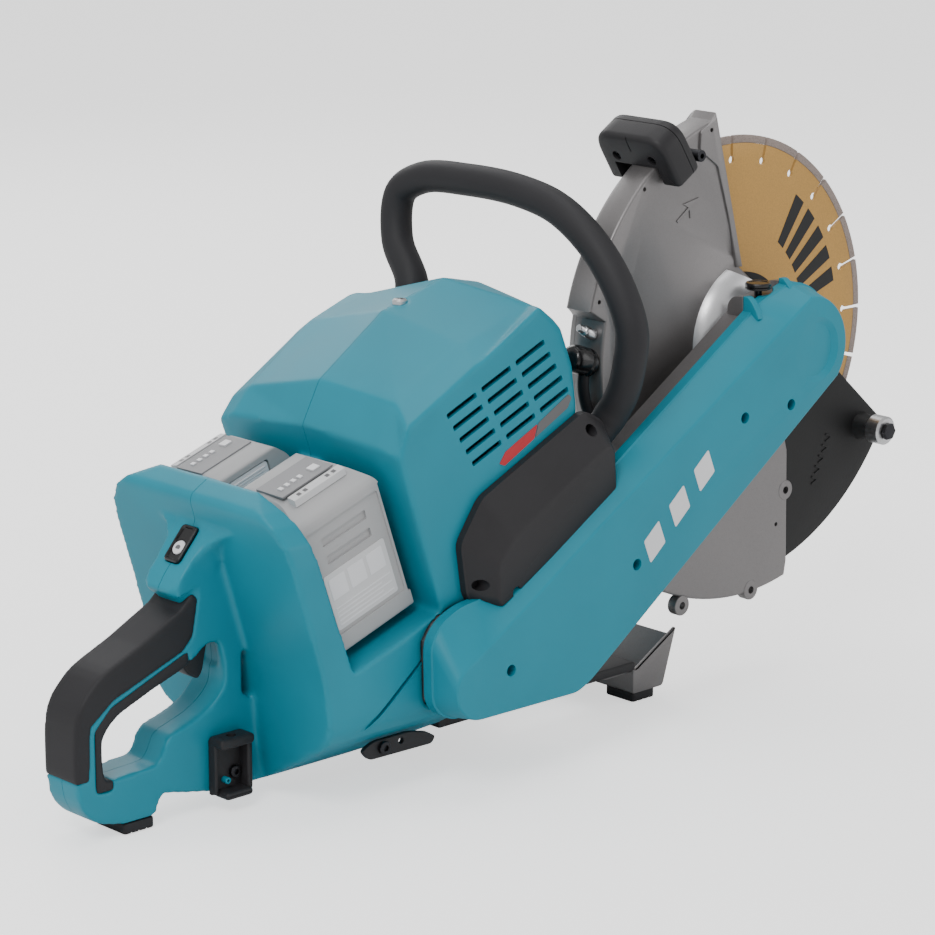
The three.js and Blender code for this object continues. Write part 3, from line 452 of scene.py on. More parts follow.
TEAL = moulded("teal_plastic", (0.002, 0.235, 0.325), 0.44, 1500, 0.1, 0.05, 0.05)
# Dark teal for the walls of vent slots and screw wells: painted shade in the recesses, where the plastic
# itself is the same teal as the housing.
TEAL_PAINTED_SHADE = moulded("teal_painted_shade", (0.004, 0.07, 0.1), 0.6)
BLACK = moulded("black_plastic", (0.021, 0.02, 0.022), 0.5, 1300, 0.2, 0.12)
GLOSS_BLACK = moulded("gloss_black", (0.006, 0.006, 0.007), 0.22, 800, 0.04, 0.1, 0.4)
LOWER_BLACK = moulded("coated_black", (0.0055, 0.0055, 0.006), 0.5, 700, 0.18, 0.12)
RUBBER = rubber("rubber", (0.019, 0.0185, 0.021))
CASTING = cast_metal("cast_aluminium", (0.21, 0.2, 0.2))
# A lighter copy of the cast aluminium paint, used only as a painted highlight on the guard's hub dish.
CASTING_PAINTED_HIGHLIGHT = cast_metal("casting_painted_highlight", (0.66, 0.66, 0.67), 0.34)
STEEL = machined("steel", (0.62, 0.62, 0.63), 0.3)
DARK_STEEL = machined("dark_steel", (0.045, 0.045, 0.05), 0.42)
GOLD = lacquered_disc("wheel_gold", (0.5, 0.275, 0.06))
SEGMENT = grit("segment_grit", (0.25, 0.205, 0.185))
PACK_GREY = moulded("pack_grey", (0.42, 0.42, 0.425), 0.55, 1200, 0.1, 0.04)
PACK_LIGHT = moulded("pack_light", (0.66, 0.66, 0.67), 0.45, 1200, 0.06, 0.03)
PACK_SHADE = moulded("pack_shade", (0.27, 0.27, 0.28), 0.5, 1200, 0.08, 0.05)
WHITE = moulded("white_plastic", (0.78, 0.78, 0.8), 0.35, 900, 0.05, 0.03)
LABEL_RED = moulded("label_red", (0.5, 0.02, 0.03), 0.35, 900, 0.03, 0.05)
LABEL_GREY = moulded("label_grey", (0.13, 0.13, 0.135), 0.35, 900, 0.03, 0.06)
PRINT_BLACK = moulded("print_black", (0.012, 0.012, 0.012), 0.5, 900, 0.03, 0.1)
COPPER = machined("winding", (0.5, 0.24, 0.13), 0.4)


# ---------------------------------------------------------------- pieces
def piece(obj, name, material, body, slot, replaced=(), sharp=38, extra=()):
    obj.name = name
    mesh = obj.data
    mesh.name = name
    mesh.materials.clear()
    for each in (material, *extra):
        mesh.materials.append(each)
    mesh.polygons.foreach_set("use_smooth", [True] * len(mesh.polygons))
    mesh.set_sharp_from_angle(angle=math.radians(sharp))
    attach(obj, body)
    if replaced:
        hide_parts(*replaced)
    return obj


def painted(obj, material):
    obj.data.materials.clear()
    obj.data.materials.append(material)
    return obj


def angles(count):
    """Equal steps of one full turn."""
    return [math.tau / count * i for i in range(count)]


def level_ring(at, radius, z, sides=40):
    """A horizontal circle of points round a place (x, y)."""
    return [(at[0] + radius * math.cos(a), at[1] + radius * math.sin(a), z) for a in angles(sides)]


# ---- screws with a hexagon socket, facing the right side
def socket_screw(at, radius, y_face, length, name, replaced=(), material=DARK_STEEL, slot="dark_steel"):
    head = rod(at, radius, y_face, y_face + length, min(0.8, radius * 0.2), 15)
    bolt = cut(head, rod(at, radius * 0.5, y_face - 2, y_face + length * 0.6, 0, 60))
    return piece(bolt, name, material, "root", slot, replaced)


# ---- housing
def slope_point(u, y, w):
    """A point on the lamp button's slope: u up the slope, w out of it."""
    return tilted((56, 190.5), LAMP_SLOPE, u, w, y)


def spur_collar():
    """The apron that spreads from the lamp button's spur into the wall behind it."""
    half = [(-36, 13), (-24, 17.5), (-8, 18.5), (4, 22), (12, 29), (18, 41), (22, 60), (30, 62)]
    outline = half + [(u, -y) for u, y in reversed(half)]
    rings = []
    for w, squeeze in ((0, 1.0), (-5, 0.97), (-12, 0.72), (-20, 0.5)):
        ring = []
        for u, y in outline:
            flare = max(0.0, abs(y) - HANDLE_HALF) * squeeze
            ring.append(slope_point(u, math.copysign(min(abs(y), HANDLE_HALF) + flare, y), w))
        rings.append(ring)
    return skin(list(reversed(rings)))


def vent_cutters(side):
    """Five rows of three cooling slots that step down and forward."""
    slots = []
    for row in range(5):
        for column in range(3):
            x = 226 + column * 33 + row * 6
            z = 279 + column * 14 - row * 9.5
            slot = plate(rectangle(x - 15, x + 15, z - 2.1, z + 2.1, 1.2), *sorted((side * 88, side * 106)))
            slots.append(turned(slot, math.radians(-23), "Y", (x, 0, z)))
    return slots


def groove(path, width, y0, y1):
    """A channel along a line of (x, z) points in a side of the body."""
    upper = []
    lower = []
    for i, point in enumerate(path):
        here = Vector(point)
        before = Vector(path[max(0, i - 1)])
        after = Vector(path[min(len(path) - 1, i + 1)])
        along = (after - before).normalized()
        normal = Vector((-along.y, along.x)) * width / 2
        upper.append(tuple(here + normal))
        lower.append(tuple(here - normal))
    return plate(lower + list(reversed(upper)), y0, y1)


def housing():
    sill = [(200, 225), (336, 225), (337, 262)]
    right_wall = [*sill, (333, 289.5), (321.3, 319), (299.8, 337.6), (238, 302.7), (176, 268)]
    left_wall = [*sill, (333, 289), (321.5, 311), (300, 318.8), (245.4, 296.8), (184, 258.8)]
    whole = gather(
        copy_of("housing_right"),
        copy_of("housing_left"),
        plate(right_wall, -99.4, -97),
        plate(left_wall, 97, 99.4),
        rod(MOTOR, 24, -85.5, -82.6),
        spur_collar(),
    )
    soften(whole, 1.8, 8)
    bezel_well = skin([
        [slope_point(a, b, w) for a, b in smooth(rectangle(-15, 15, -8.5, 8.5, 4))] for w in (-7, 6)
    ])
    waist = [(108, 46), (120, 53), (148, 70), (184, 98), (206, 116)]
    # the slot walls take the dark teal: painted shade inside the vents
    cutters = [painted(slot, TEAL_PAINTED_SHADE) for side in (-1, 1) for slot in vent_cutters(side)]
    cutters += [bezel_well, groove(waist, 3.2, -104, -96.6), groove(waist, 3.2, 96.6, 104)]
    cut(whole, gather(*cutters))
    seam = 0.2
    halves = ((whole, "housing_right", -300, -seam), (twin_of(whole), "housing_left", seam, 300))
    for half, node, low, high in halves:
        common(half, block(-200, 900, low, high, -50, 600, 0))
        piece(half, node + "_shell", TEAL, "root", "teal_plastic", (node,), 60)


def grip_strips():
    for node in ("grip_outer", "grip_inner"):
        strip = soften(copy_of(node), 1.3, 6)
        inflate(strip, 0.55)
        piece(strip, node + "_rubber", RUBBER, "root", "rubber", (node,), 60)


def lamp_switch():
    def ring(half_u, half_y, corner, w):
        return [slope_point(a, b, w) for a, b in smooth(rectangle(-half_u, half_u, -half_y, half_y, corner))]

    def disc(radius, w):
        return [slope_point(-3 + radius * math.cos(a), radius * math.sin(a), w) for a in angles(36)]

    frame_body = skin([ring(14.5, 8, 3.4, -6), ring(14.5, 8, 3.4, 2.6), ring(13.7, 7.2, 3, 3.4),
                       ring(12.6, 6.2, 2.6, 3.4), ring(11.8, 5.6, 2.4, 2.2)])
    cut(frame_body, skin([disc(6, -5), disc(6, 8)]))
    piece(frame_body, "button_bezel_frame", GLOSS_BLACK, "root", "black_plastic", ("button_bezel",))
    button = skin([disc(5.4, -3.8), disc(5.4, 2.0), disc(5.0, 2.5), disc(3.2, 2.8)])
    piece(button, "lamp_button_cap", WHITE, "lamp_button", "white_plastic", ("lamp_button",))
    lamp = [(-1.6, -1.8), (-1.6, 1.8), (-0.4, 2.4), (0.8, 1.9), (1.5, 0.8),
            (1.5, -0.8), (0.8, -1.9), (-0.4, -2.4)]
    mark = skin([[slope_point(-3 + a, b, w) for a, b in lamp] for w in (2.6, 2.95)])
    piece(mark, "lamp_button_mark", LABEL_GREY, "lamp_button", "white_plastic")


# ---- belt arm
# Each corner: base x, base z, face x, face z and how much the corner is cut.
ARM_CORNERS = [
    (186, 70, 190, 74, 10), (202, 57, 204, 61, 10), (310, 55, 308, 60, 6), (326, 61, 321, 66, 6),
]
ARM_BACK = [
    (521, 315, 534, 304, 10), (353, 207, 343, 188, 14), (240, 141, 226, 116, 12),
    (213, 138, 208, 105, 8), (195, 130, 195, 98, 8), (185, 117, 189, 90, 8),
]
COVER_SCREWS = [(241, 91), (367, 144), (480, 235), (531, 237)]


def arm_outlines():
    tip = [(*p, *q, 0) for p, q in zip(about_axle(48, -38, 90, 4), about_axle(40, -38, 90, 4))]
    rows = [*ARM_CORNERS, *tip, *ARM_BACK]
    base = smooth([(r[0], r[1], r[4]) for r in rows])
    face = smooth([(r[2], r[3], r[4]) for r in rows])
    return base, face


def arm_skin(base, face, y_back, y_ledge, y_face, edge):
    """The cover's outer skin: a straight rim, a bevelled band and a face with a rounded edge."""
    rings = [(base, y_back), (base, y_ledge), (offset(base, -1.4), y_ledge - 0.7)]
    depth = y_ledge - y_face
    for t in (0.0, 0.25, 0.5, 0.75, 1.0):
        back = (1 - t) ** 2 * edge
        ahead = t ** 2 * edge
        ring = []
        inner = offset(face, -ahead)
        for b, f, n in zip(base, face, inner):
            share = back / max(depth, 1)
            ring.append((n[0] + (b[0] - f[0]) * share, n[1] + (b[1] - f[1]) * share))
        rings.append((ring, y_face + back))
    return skin([[(x, y, z) for x, z in ring] for ring, y in rings])


def crescent(centre, radius, slope, depth):
    """A tool for a round dip in the arm's face that deepens towards the tip of the arm."""
    def ring(size, y, fall):
        return [(centre[0] + size * math.cos(a), y + fall * (0.5 + 0.5 * math.cos(a + 0.2)),
                 centre[1] + size * math.sin(a)) for a in angles(64)]

    return skin([ring(radius, COVER_FACE - 4, 0), ring(radius, COVER_FACE - 0.02, 0),
                 ring(radius - slope, COVER_FACE + 0.1, depth),
                 ring(0.5, COVER_FACE + 0.1 + depth / 2, 0.01)])


def belt_cover():
    base, face = arm_outlines()
    outer = arm_skin(base, face, COVER_BACK, COVER_BACK - 8, COVER_FACE, 1.6)
    wall = 2.8
    inner = arm_skin(offset(base, -wall), offset(face, -wall),
                     COVER_BACK + 2, COVER_BACK - 8, COVER_FACE + wall, 1)
    shell = cut(outer, inner)
    for centre, lift in ((512, 0), (551, 9)):
        fin = [(-104, 298), (-104, 318 + lift), (-108, 318.5 + lift, 2), (-113, 315 + lift, 3),
               (-118, 308 + lift, 3), (-120, 303 + lift), (-112, 298)]
        join(shell, front_plate(fin, centre - 3, centre + 3, 0.8))
    for at in COVER_SCREWS:
        join(shell, rod(at, 6.5, COVER_FACE + 1.5, COVER_BACK, 0, 10))
    # the screw wells take the dark teal: painted shade inside the wells
    wells = [painted(rod(at, 4.3, COVER_FACE - 5, -113, 0, 10), TEAL_PAINTED_SHADE) for at in COVER_SCREWS]
    wells += [rod(at, 2.6, -114, -100, 0, 15) for at in COVER_SCREWS]
    cut(shell, *wells, skin([level_ring(LOCK, 11.5, z) for z in (316.2, 345)]))
    dip = (558, 275)
    join(shell, rod(dip, 27, COVER_FACE + 1, COVER_FACE + 4.4, 0, 8))
    cut(shell, crescent(dip, 25, 4.5, 3.4))
    piece(shell, "belt_cover_shell", TEAL, "root", "teal_plastic", ("belt_cover",), 18, (TEAL_PAINTED_SHADE,))
    for i, at in enumerate(COVER_SCREWS):
        socket_screw(at, 3.8, -119, 5, f"cover_screw_head_{i + 1}")


def arm_marks():
    """Three slanted white bars on the arm and a red and grey flash over the side cover, free of lettering."""
    along = Vector((0.757, 0.653))
    across = Vector((-0.653, 0.757))
    for i in range(3):
        origin = Vector((378, 152)) + along * 34 * i
        corners = [origin - across * 9 - along * 4, origin - across * 9 + along * 16,
                   origin + across * 9 + along * 22, origin + across * 9 + along * 2]
        bar = plate([(p.x, p.y, 1.5) for p in corners], COVER_FACE - 0.35, COVER_FACE + 0.4)
        piece(bar, f"arm_bar_{i + 1}", WHITE, "root", "white_plastic")
    flash = [((262, 231), (267, 229), (296, 244), (299, 254), (268, 239), LABEL_RED, "flash_red"),
             ((297, 244.5), (329, 261), (333, 268), (330, 271), (300, 254.5), LABEL_GREY, "flash_grey")]
    for *corners, material, name in flash:
        tag = plate([(x, z, 1.2) for x, z in corners], -BODY_HALF - 0.4, -BODY_HALF + 0.6)
        piece(tag, name, material, "root", "black_plastic")


# ---- handle mount cover
def side_cover():
    base = [(219, 181, 6), (240, 211, 6), (341, 258, 6), (359, 248, 6), (369, 228, 6), (373, 192, 8),
            (262, 129, 12), (238, 129, 6), (225, 141, 6)]
    face = [(239, 166, 4), (253, 181, 5), (346, 232, 2), (351, 233, 2), (354, 229, 2), (356, 197, 5),
            (249, 138, 2), (243, 135, 2), (240, 141, 2)]
    inner = offset(smooth(face), -3)
    body = arm_skin(smooth(base), smooth(face), -BODY_HALF - 0.3, -106, -124, 1.6)
    cut(body, plate(inner, -121, -90), tube(handle_path(), 12.9))
    holes = ((340, 245), (231, 151), (257, 143))
    for at in holes:
        cut(body, rod(at, 4.2, -140, -105.5, 0, 12))
    piece(body, "side_cover_shell", BLACK, "root", "black_plastic", ("side_cover",), 16)
    socket_screw(holes[0], 3.6, -107, 5, "side_cover_screw_1")


# ---- front handle
def handle_path():
    """Centreline of the front handle, from the left shoulder over to the right side."""
    route = [
        (340, 80, 300), (347, 86, 324), (356, 112, 352), (363, 116, 386), (366, 94, 400),
        (368, 46, 404), (370, -8, 402), (370, -50, 393), (370, -86, 371), (370, -111, 343),
        (371, -123, 314), (373, -119, 290), (375, -110, 266), (373, -100, 248), (365, -94, 234),
    ]
    return centripetal([Vector(p) for p in route], 8)


def centripetal(points, steps):
    """A centripetal Catmull-Rom curve through the points."""
    guide = [points[0] * 2 - points[1], *points, points[-1] * 2 - points[-2]]
    curve = []
    for p0, p1, p2, p3 in zip(guide, guide[1:], guide[2:], guide[3:]):
        t1 = (p1 - p0).length ** 0.5
        t2 = t1 + (p2 - p1).length ** 0.5
        t3 = t2 + (p3 - p2).length ** 0.5
        for k in range(steps):
            t = t1 + (t2 - t1) * k / steps
            a1 = p0 * ((t1 - t) / t1) + p1 * (t / t1)
            a2 = p1 * ((t2 - t) / (t2 - t1)) + p2 * ((t - t1) / (t2 - t1))
            a3 = p2 * ((t3 - t) / (t3 - t2)) + p3 * ((t - t2) / (t3 - t2))
            b1 = a1 * ((t2 - t) / t2) + a2 * (t / t2)
            b2 = a2 * ((t3 - t) / (t3 - t1)) + a3 * ((t - t1) / (t3 - t1))
            curve.append(b1 * ((t2 - t) / (t2 - t1)) + b2 * ((t - t1) / (t2 - t1)))
    curve.append(points[-1])
    return curve


def tube(path, radius, sides=32):
    """A round bar along a path; radius is a number or a function of the share of the way along."""
    rings = []
    side = Vector((1, 0, 0))
    for i, here in enumerate(path):
        along = (path[min(i + 1, len(path) - 1)] - path[max(i - 1, 0)]).normalized()
        side = (side - along * side.dot(along)).normalized()
        up = along.cross(side)
        size = radius(i / (len(path) - 1)) if callable(radius) else radius
        rings.append([here + (side * math.cos(a) + up * math.sin(a)) * size
                      for a in angles(sides)])
    return skin(rings)


def front_handle():
    def sleeve(share):
        """The sleeve's radius, with a swelling near each end."""
        left = 0.7 * math.exp(-((share - 0.06) / 0.02) ** 2)
        right = 0.5 * math.exp(-((share - 0.93) / 0.02) ** 2)
        return 12.2 + left + right

    piece(tube(handle_path(), sleeve), "front_handle_rubber", RUBBER, "root", "rubber",
          ("front_handle_sleeve", "front_handle_tube"), 60)


# ---- wheel guard
RIM, STEP_RIM, LOBE = 176, 158, 206  # radii about the axle: upper rim, its rear step and the lower lobe
GUARD_TIP = (543, 331)  # where the front edge meets the hub
HUB_NOTCH = [(527, 350), (527, 332), (548, 321), (640, 290), (640, 350)]  # cut off the hub by the front edge
SHOULDER_Y, RIM_DROP, STEP_DROP = -48, 20, 6  # the rim falls away towards the left face


def guard_outline(share=0.0):
    """The guard's side outline: share 0 at full size, 1 on the left face."""
    drop, step_drop = RIM_DROP * share, STEP_DROP * share
    return [(514, 452 - drop), *about_axle(RIM - drop, 104, 166), *about_axle(STEP_RIM - step_drop, 168, 200),
            *about_axle(LOBE, 222, 284), (604, 88), (602, 178), (592, 212),
            *about_axle(37, -40, 50, 5), GUARD_TIP]


def guard_inside(share=0.0):
    """The room inside the guard, open to the front, at the same share."""
    wall = 3.5
    drop, step_drop = (RIM_DROP - 3) * share, (STEP_DROP - 1) * share
    return [(600, 470 - drop), (514, 448 - drop), *about_axle(RIM - wall - drop, 104, 163.5),
            *about_axle(STEP_RIM - wall - step_drop, 168.5, 200), *about_axle(LOBE - wall, 222, 289),
            (740, 60), (740, 300)]


def guard_body():
    """The outer skin: a rounded right edge, a flat rim, and a shoulder that falls to the left face."""
    rings = []
    edge = 2.4
    for step in range(5):
        angle = math.radians(90 * step / 4)
        inset, rise = edge * (1 - math.sin(angle)), edge * (1 - math.cos(angle))
        rings.append((offset(guard_outline(), -inset), GUARD_LOW + rise))
    for share in (0.0, 0.12, 0.3, 0.6, 0.85, 1.0):
        rings.append((guard_outline(share ** 1.5), SHOULDER_Y + (GUARD_HIGH - SHOULDER_Y) * share))
    rings.append((offset(guard_outline(1.0), -2), GUARD_HIGH + 0.01))
    return skin([[(x, y, z) for x, z in ring] for ring, y in rings])


def guard_hollow():
    levels = ((0.0, GUARD_LOW + 3.5), (0.0, SHOULDER_Y + 1), (1.0, GUARD_HIGH - 3.5))
    return skin([[(x, y, z) for x, z in guard_inside(share)] for share, y in levels])


def hub_boss(low, radius):
    """The dished boss that carries the guard on the spindle tube; the lighter copy laid over it on the guard
    is a painted highlight.
    """
    return lathe(AXLE, [(0.5, low), (radius * 0.56, low), (radius * 0.72, low + 1.5),
                        (radius * 0.87, low + 5.5), (radius * 0.97, low + 11.5), (radius, low + 16),
                        (0.5, low + 16)], 3)


def bevelled_recess(outline, face, depth, slope):
    """A tool that sinks a shallow field into a right-hand face, with sides that slope."""
    levels = ((slope, face - 3), (slope, face - 0.01), (0, face + depth))
    return skin([[(x, y, z) for x, z in offset(outline, grow)] for grow, y in levels])


def small_arrow():
    """A plain direction arrow cast into the guard's face."""
    turn = math.radians(35)
    shape = [(0, 1.2), (15, 1.2), (12, 7), (28, 0), (12, -7), (15, -1.2), (0, -1.2)]
    points = [(474 + a * math.cos(turn) - b * math.sin(turn), 374 + a * math.sin(turn) + b * math.cos(turn))
              for a, b in shape]
    return plate(points, GUARD_LOW + 1.3, GUARD_LOW + 3.2, 0.4)


def guard_face():
    """The guard's shell before it is parted, with the recess, ribs, lugs and bores of its right face."""
    band = [(512, 449), (508, 446, 1), (495, 440, 2), (494, 426, 3), (514, 412, 3), (527, 372, 3),
            (537, 332), (543, 332)]
    recess = [(488, 414), *about_axle(154, 117, 163), *about_axle(140, 167, 196),
              *about_axle(70, 190, 106, 5), (519, 372), (507, 404)]
    rib = plate([(404, 181), (470, 214), (470, 219), (404, 187)], GUARD_LOW - 3, GUARD_LOW + 1, 1)
    shell = cut(guard_body(), guard_hollow())
    cut(shell, bevelled_recess(recess, GUARD_LOW, 2.2, 5))
    boss = cut(hub_boss(GUARD_LOW - 14.6, 59), plate(HUB_NOTCH, -100, -40))
    join(shell, plate(band, GUARD_LOW - 2, GUARD_LOW + 1, 0.8), boss)
    for x, z, depth in GUARD_LUGS:
        join(shell, rod((x, z), 8, GUARD_LOW - 0.5, GUARD_LOW + depth, 1))
    join(shell, rib, small_arrow())
    cut(shell, rod(AXLE, 30, -90, -60, 0, 5))
    for x, z, depth in GUARD_LUGS:
        cut(shell, rod((x, z), 3, -80, -60 if depth < 8 else 0))
    for at in ((506, 440), (437, 403), (391, 325), (590, 120)):
        cut(shell, rod(at, 1.7, GUARD_LOW - 4, GUARD_LOW + 3, 0, 20))
    return shell


def guard():
    shell = guard_face()
    left = twin_of(shell)
    common(shell, block(200, 900, -150, GUARD_SEAM - 0.2, -50, 600, 0))
    common(left, block(200, 900, GUARD_SEAM + 0.2, 50, -50, 600, 0))
    cut(left, rod(AXLE, 50, -60, 10, 0, 5))
    journal = cut(rod(AXLE, 43, GUARD_LOW + 2, GUARD_LOW + 9.4, 0, 5), rod(AXLE, 34, -80, -50, 0, 5))
    ahead = [(543, 345), GUARD_TIP, (640, 248), (640, 345)]
    join(shell, cut(journal, plate(ahead, -80, -40)))
    piece(shell, "guard_right_cast", CASTING, "guard", "cast_aluminium", ("guard_right",), 30)
    piece(left, "guard_left_cast", CASTING, "guard", "cast_aluminium", ("guard_left",), 30)
    # A lighter copy of the casting paint laid over the casting's own boss: a painted highlight on the hub
    # dish.
    ring = cut(hub_boss(GUARD_LOW - 15.6, 61), plate(offset(HUB_NOTCH, 0.5), -100, -40),
               rod(AXLE, 30.5, -100, -50, 0, 5), rod(AXLE, 70, GUARD_LOW - 0.1, -40))
    piece(ring, "guard_hub_dish", CASTING_PAINTED_HIGHLIGHT, "guard", "cast_aluminium", (), 45)


# ---- saddle grip on the guard
GRIP_LEAN, GRIP_RADIUS, GRIP_HALF, GRIP_HEIGHT = math.radians(32.3), 180.5, 13, 22.5
GRIP_LOW, GRIP_HIGH = -88, -17


def on_rim(a, y, b):
    """A point of the grip's own upright frame, leaned back to stand on the rim: a forward, b outward."""
    return tilted(AXLE, GRIP_LEAN, a, b + GRIP_RADIUS, y)


def along_rim(shape, low, high, edge=0):
    """An outline of (y, outward) between two places along the rim."""
    return extrude(shape, low, high, lambda y, b, a: on_rim(a, y, b), edge, corner_steps=8)


def guard_grip():
    arch = [(GRIP_LOW, -GRIP_HEIGHT, 5), (GRIP_HIGH, -GRIP_HEIGHT, 5),
            (GRIP_HIGH, GRIP_HEIGHT, 18), (GRIP_LOW, GRIP_HEIGHT, 18)]
    envelope = [(514, 452), *about_axle(RIM, 104, 166), AXLE]
    body = along_rim(arch, -GRIP_HALF, GRIP_HALF, 4.5)
    cut(body, plate(offset(envelope, 0.6), GUARD_LOW - 2.5, GUARD_HIGH + 0.6))
    middle = (GRIP_LOW + GRIP_HIGH) / 2
    sites = (middle - 18, middle + 18)
    seam = cut(along_rim(offset(arch, 6), 4.6, 5.2), along_rim(offset(arch, -0.9), 4, 6))
    cut(body, seam, along_rim(rectangle(middle - 0.5, middle + 0.5, 8, 30), -GRIP_HALF - 4, -GRIP_HALF + 1.5))
    for y in sites:
        cut(body, along_rim(arc((y, 2), 4, 0, 345, 15), -GRIP_HALF - 3, -GRIP_HALF + 6))
    piece(body, "guard_grip_rubber", BLACK, "guard", "rubber", ("guard_grip",), 40)
    for i, y in enumerate(sites):
        head = along_rim(arc((y, 2), 3.5, 0, 345, 15), -GRIP_HALF + 2, -GRIP_HALF + 5.7, 0.5)
        cut(head, along_rim(arc((y, 2), 1.8, 0, 300, 60), -GRIP_HALF + 1, -GRIP_HALF + 4))
        piece(head, f"guard_grip_screw_{i + 1}", DARK_STEEL, "guard", "dark_steel")
    bolt = rod(GUARD_CLAMP, 4.4, GRIP_LOW + 1, GUARD_LOW - 0.3, 0.7, 12)
    cut(bolt, rod(GUARD_CLAMP, 2.2, GRIP_LOW - 2, GRIP_LOW + 5, 0, 60))
    piece(bolt, "guard_clamp_bolt_socket", DARK_STEEL, "guard", "dark_steel", ("guard_clamp_bolt",))


# ---- water supply on the guard's rear rim
def water_supply():
    def fitting(profile, step, lift, x, y, z):
        """A turned part whose axis points backward and is tipped up by lift degrees."""
        part = turned(lathe((0, 0), profile, step), math.radians(-90), "Z")
        return moved(turned(part, math.radians(lift), "Y"), x, y, z)

    cap = [(0.5, -12), (6.5, -11.6), (9, -10), (10.4, -6.5), (10.8, 0), (10.8, 4), (9.4, 5.4), (10.8, 6.8),
           (10.8, 9.5), (7, 11), (7, 15), (0.5, 15)]
    knob = fitting(cap, 5, 22, 383, -58, 281)
    piece(knob, "water_fitting_cap", GLOSS_BLACK, "guard", "black_plastic", ("water_fitting",))
    route = ((389, -58, 276), (387, -58, 262), (391, -57, 246), (402, -56, 228))
    hose = tube(centripetal([Vector(p) for p in route], 8), 4.4, 20)
    piece(hose, "water_hose_rubber", RUBBER, "guard", "rubber", ("water_hose",), 60)
    barb = [(0.5, -9), (3.2, -9), (4, -8), (4, -3), (5.2, -2.4), (4, -1.6), (5.4, 0), (4.4, 0.8), (5.5, 3),
            (5.5, 12), (0.5, 12)]
    nipple = fitting([(r * 0.75, y * 0.8) for r, y in barb], 10, 28, 386, -60, 303)
    piece(nipple, "water_nipple_barb", STEEL, "guard", "steel", ("water_nipple",))


# ---- lower guard
def lower_guard():
    sector = [*about_axle(46, -96, -8), *about_axle(125, -21.6, -21.6), *about_axle(192, -28.6, -28.6),
              *about_axle(196.5, -30, -88)]
    hollow = [AXLE, (760, 260), *about_axle(193.5, -22, -95)]
    body = plate(sector, -63.5, -37.4, 1.2)
    cut(body, plate(hollow, -60.9, -39.8), rod(AXLE, 100, -61.7, 10, 0, 5))
    post = lathe(ROLLER, [(0.5, -75.6), (8, -75.6), (9, -74), (11, -64), (12, -62.5), (0.5, -62.5)])
    join(body, rod(AXLE, 49, -63.5, -60.9, 0, 5), post)
    cut(body, rod(AXLE, 43.3, -90, -10, 0, 5), rod(ROLLER, 4.3, -80, -50))
    for i in range(5):
        x, z = Vector((658, 178)) - Vector((5.5, 11.5)) * i * 0.7
        chevron = [(x - 5, z - 2.5), (x + 1, z), (x - 5, z + 2.5),
                   (x - 3.5, z + 3.5), (x + 4, z), (x - 3.5, z - 3.5)]
        join(body, plate(chevron, -64.2, -62.5))
    piece(body, "lower_guard_shell", LOWER_BLACK, "lower_guard", "black_plastic", ("lower_guard",), 30)
    roller = lathe(ROLLER, [(4.3, -90), (10, -90), (11.5, -88.5), (11.5, -77.5), (10, -76), (4.3, -76)])
    piece(roller, "roller_tyre", STEEL, "roller", "steel", ("guard_roller",))
    bolt = join(rod(ROLLER, 7, -94, -90.3, 0.8, 60), rod(ROLLER, 4, -91, -62))
    piece(bolt, "roller_bolt_head", DARK_STEEL, "lower_guard", "dark_steel", ("roller_bolt",))


# ---- cutting wheel
def cutting_wheel():
    half = 1.6
    low, high = WHEEL_Y - half, WHEEL_Y + half
    core_radius, slot_radius, pitch = 146.5, 134, 15
    core = rod(AXLE, core_radius, low + 0.3, high - 0.3, 0.3, 2)
    cut(core, rod(AXLE, 12.7, WHEEL_Y - 5, WHEEL_Y + 5, 0, 6))
    segments = []
    for angle in range(0, 360, pitch):
        foot = about_axle(slot_radius, angle, angle)[0]
        slot = block(AXLE[0] + slot_radius, AXLE[0] + 160, WHEEL_Y - 5, WHEEL_Y + 5,
                     AXLE[1] - 1.3, AXLE[1] + 1.3, 0)
        cut(core, turned(slot, math.radians(-angle), "Y", (AXLE[0], 0, AXLE[1])))
        cut(core, rod(foot, 3, WHEEL_Y - 4.5, WHEEL_Y + 4.5, 0, 20))
        start, stop = angle + 0.55, angle + pitch - 0.55
        outline = [*about_axle(core_radius + 0.1, start, stop, 3), *about_axle(WHEEL_RADIUS, stop, start, 3)]
        segments.append(plate(outline, low, high, 0.35, steps=2))
    piece(core, "cutting_wheel_core", GOLD, "wheel", "wheel_gold", ("cutting_wheel",))
    piece(gather(*segments), "cutting_wheel_segments", SEGMENT, "wheel", "wheel_gold")
    bars = []
    for start in (8, 17, 26, 35, 44, 188, 197, 206, 215, 224):
        outline = [*about_axle(84, start, start + 5.5, 1), *about_axle(124, start + 9, start + 3.5, 1)]
        bars += [plate(outline, low + 0.12, low + 0.5), plate(outline, high - 0.5, high - 0.12)]
    piece(gather(*bars), "cutting_wheel_print", PRINT_BLACK, "wheel", "wheel_gold")


# ---- battery packs
def pack_place(u, y, v):
    """A point in the pack's own frame: u across, v up from its base."""
    return tilted((PACK_X, PACK_Z), LEAN, u, v, y)


def pack_side(outline, low, high, edge=0):
    return extrude(outline, low, high, lambda a, b, y: pack_place(a, y, b), edge)


def pack_end(outline, low, high, edge=0):
    return extrude(outline, low, high, lambda a, b, u: pack_place(u, a, b), edge)


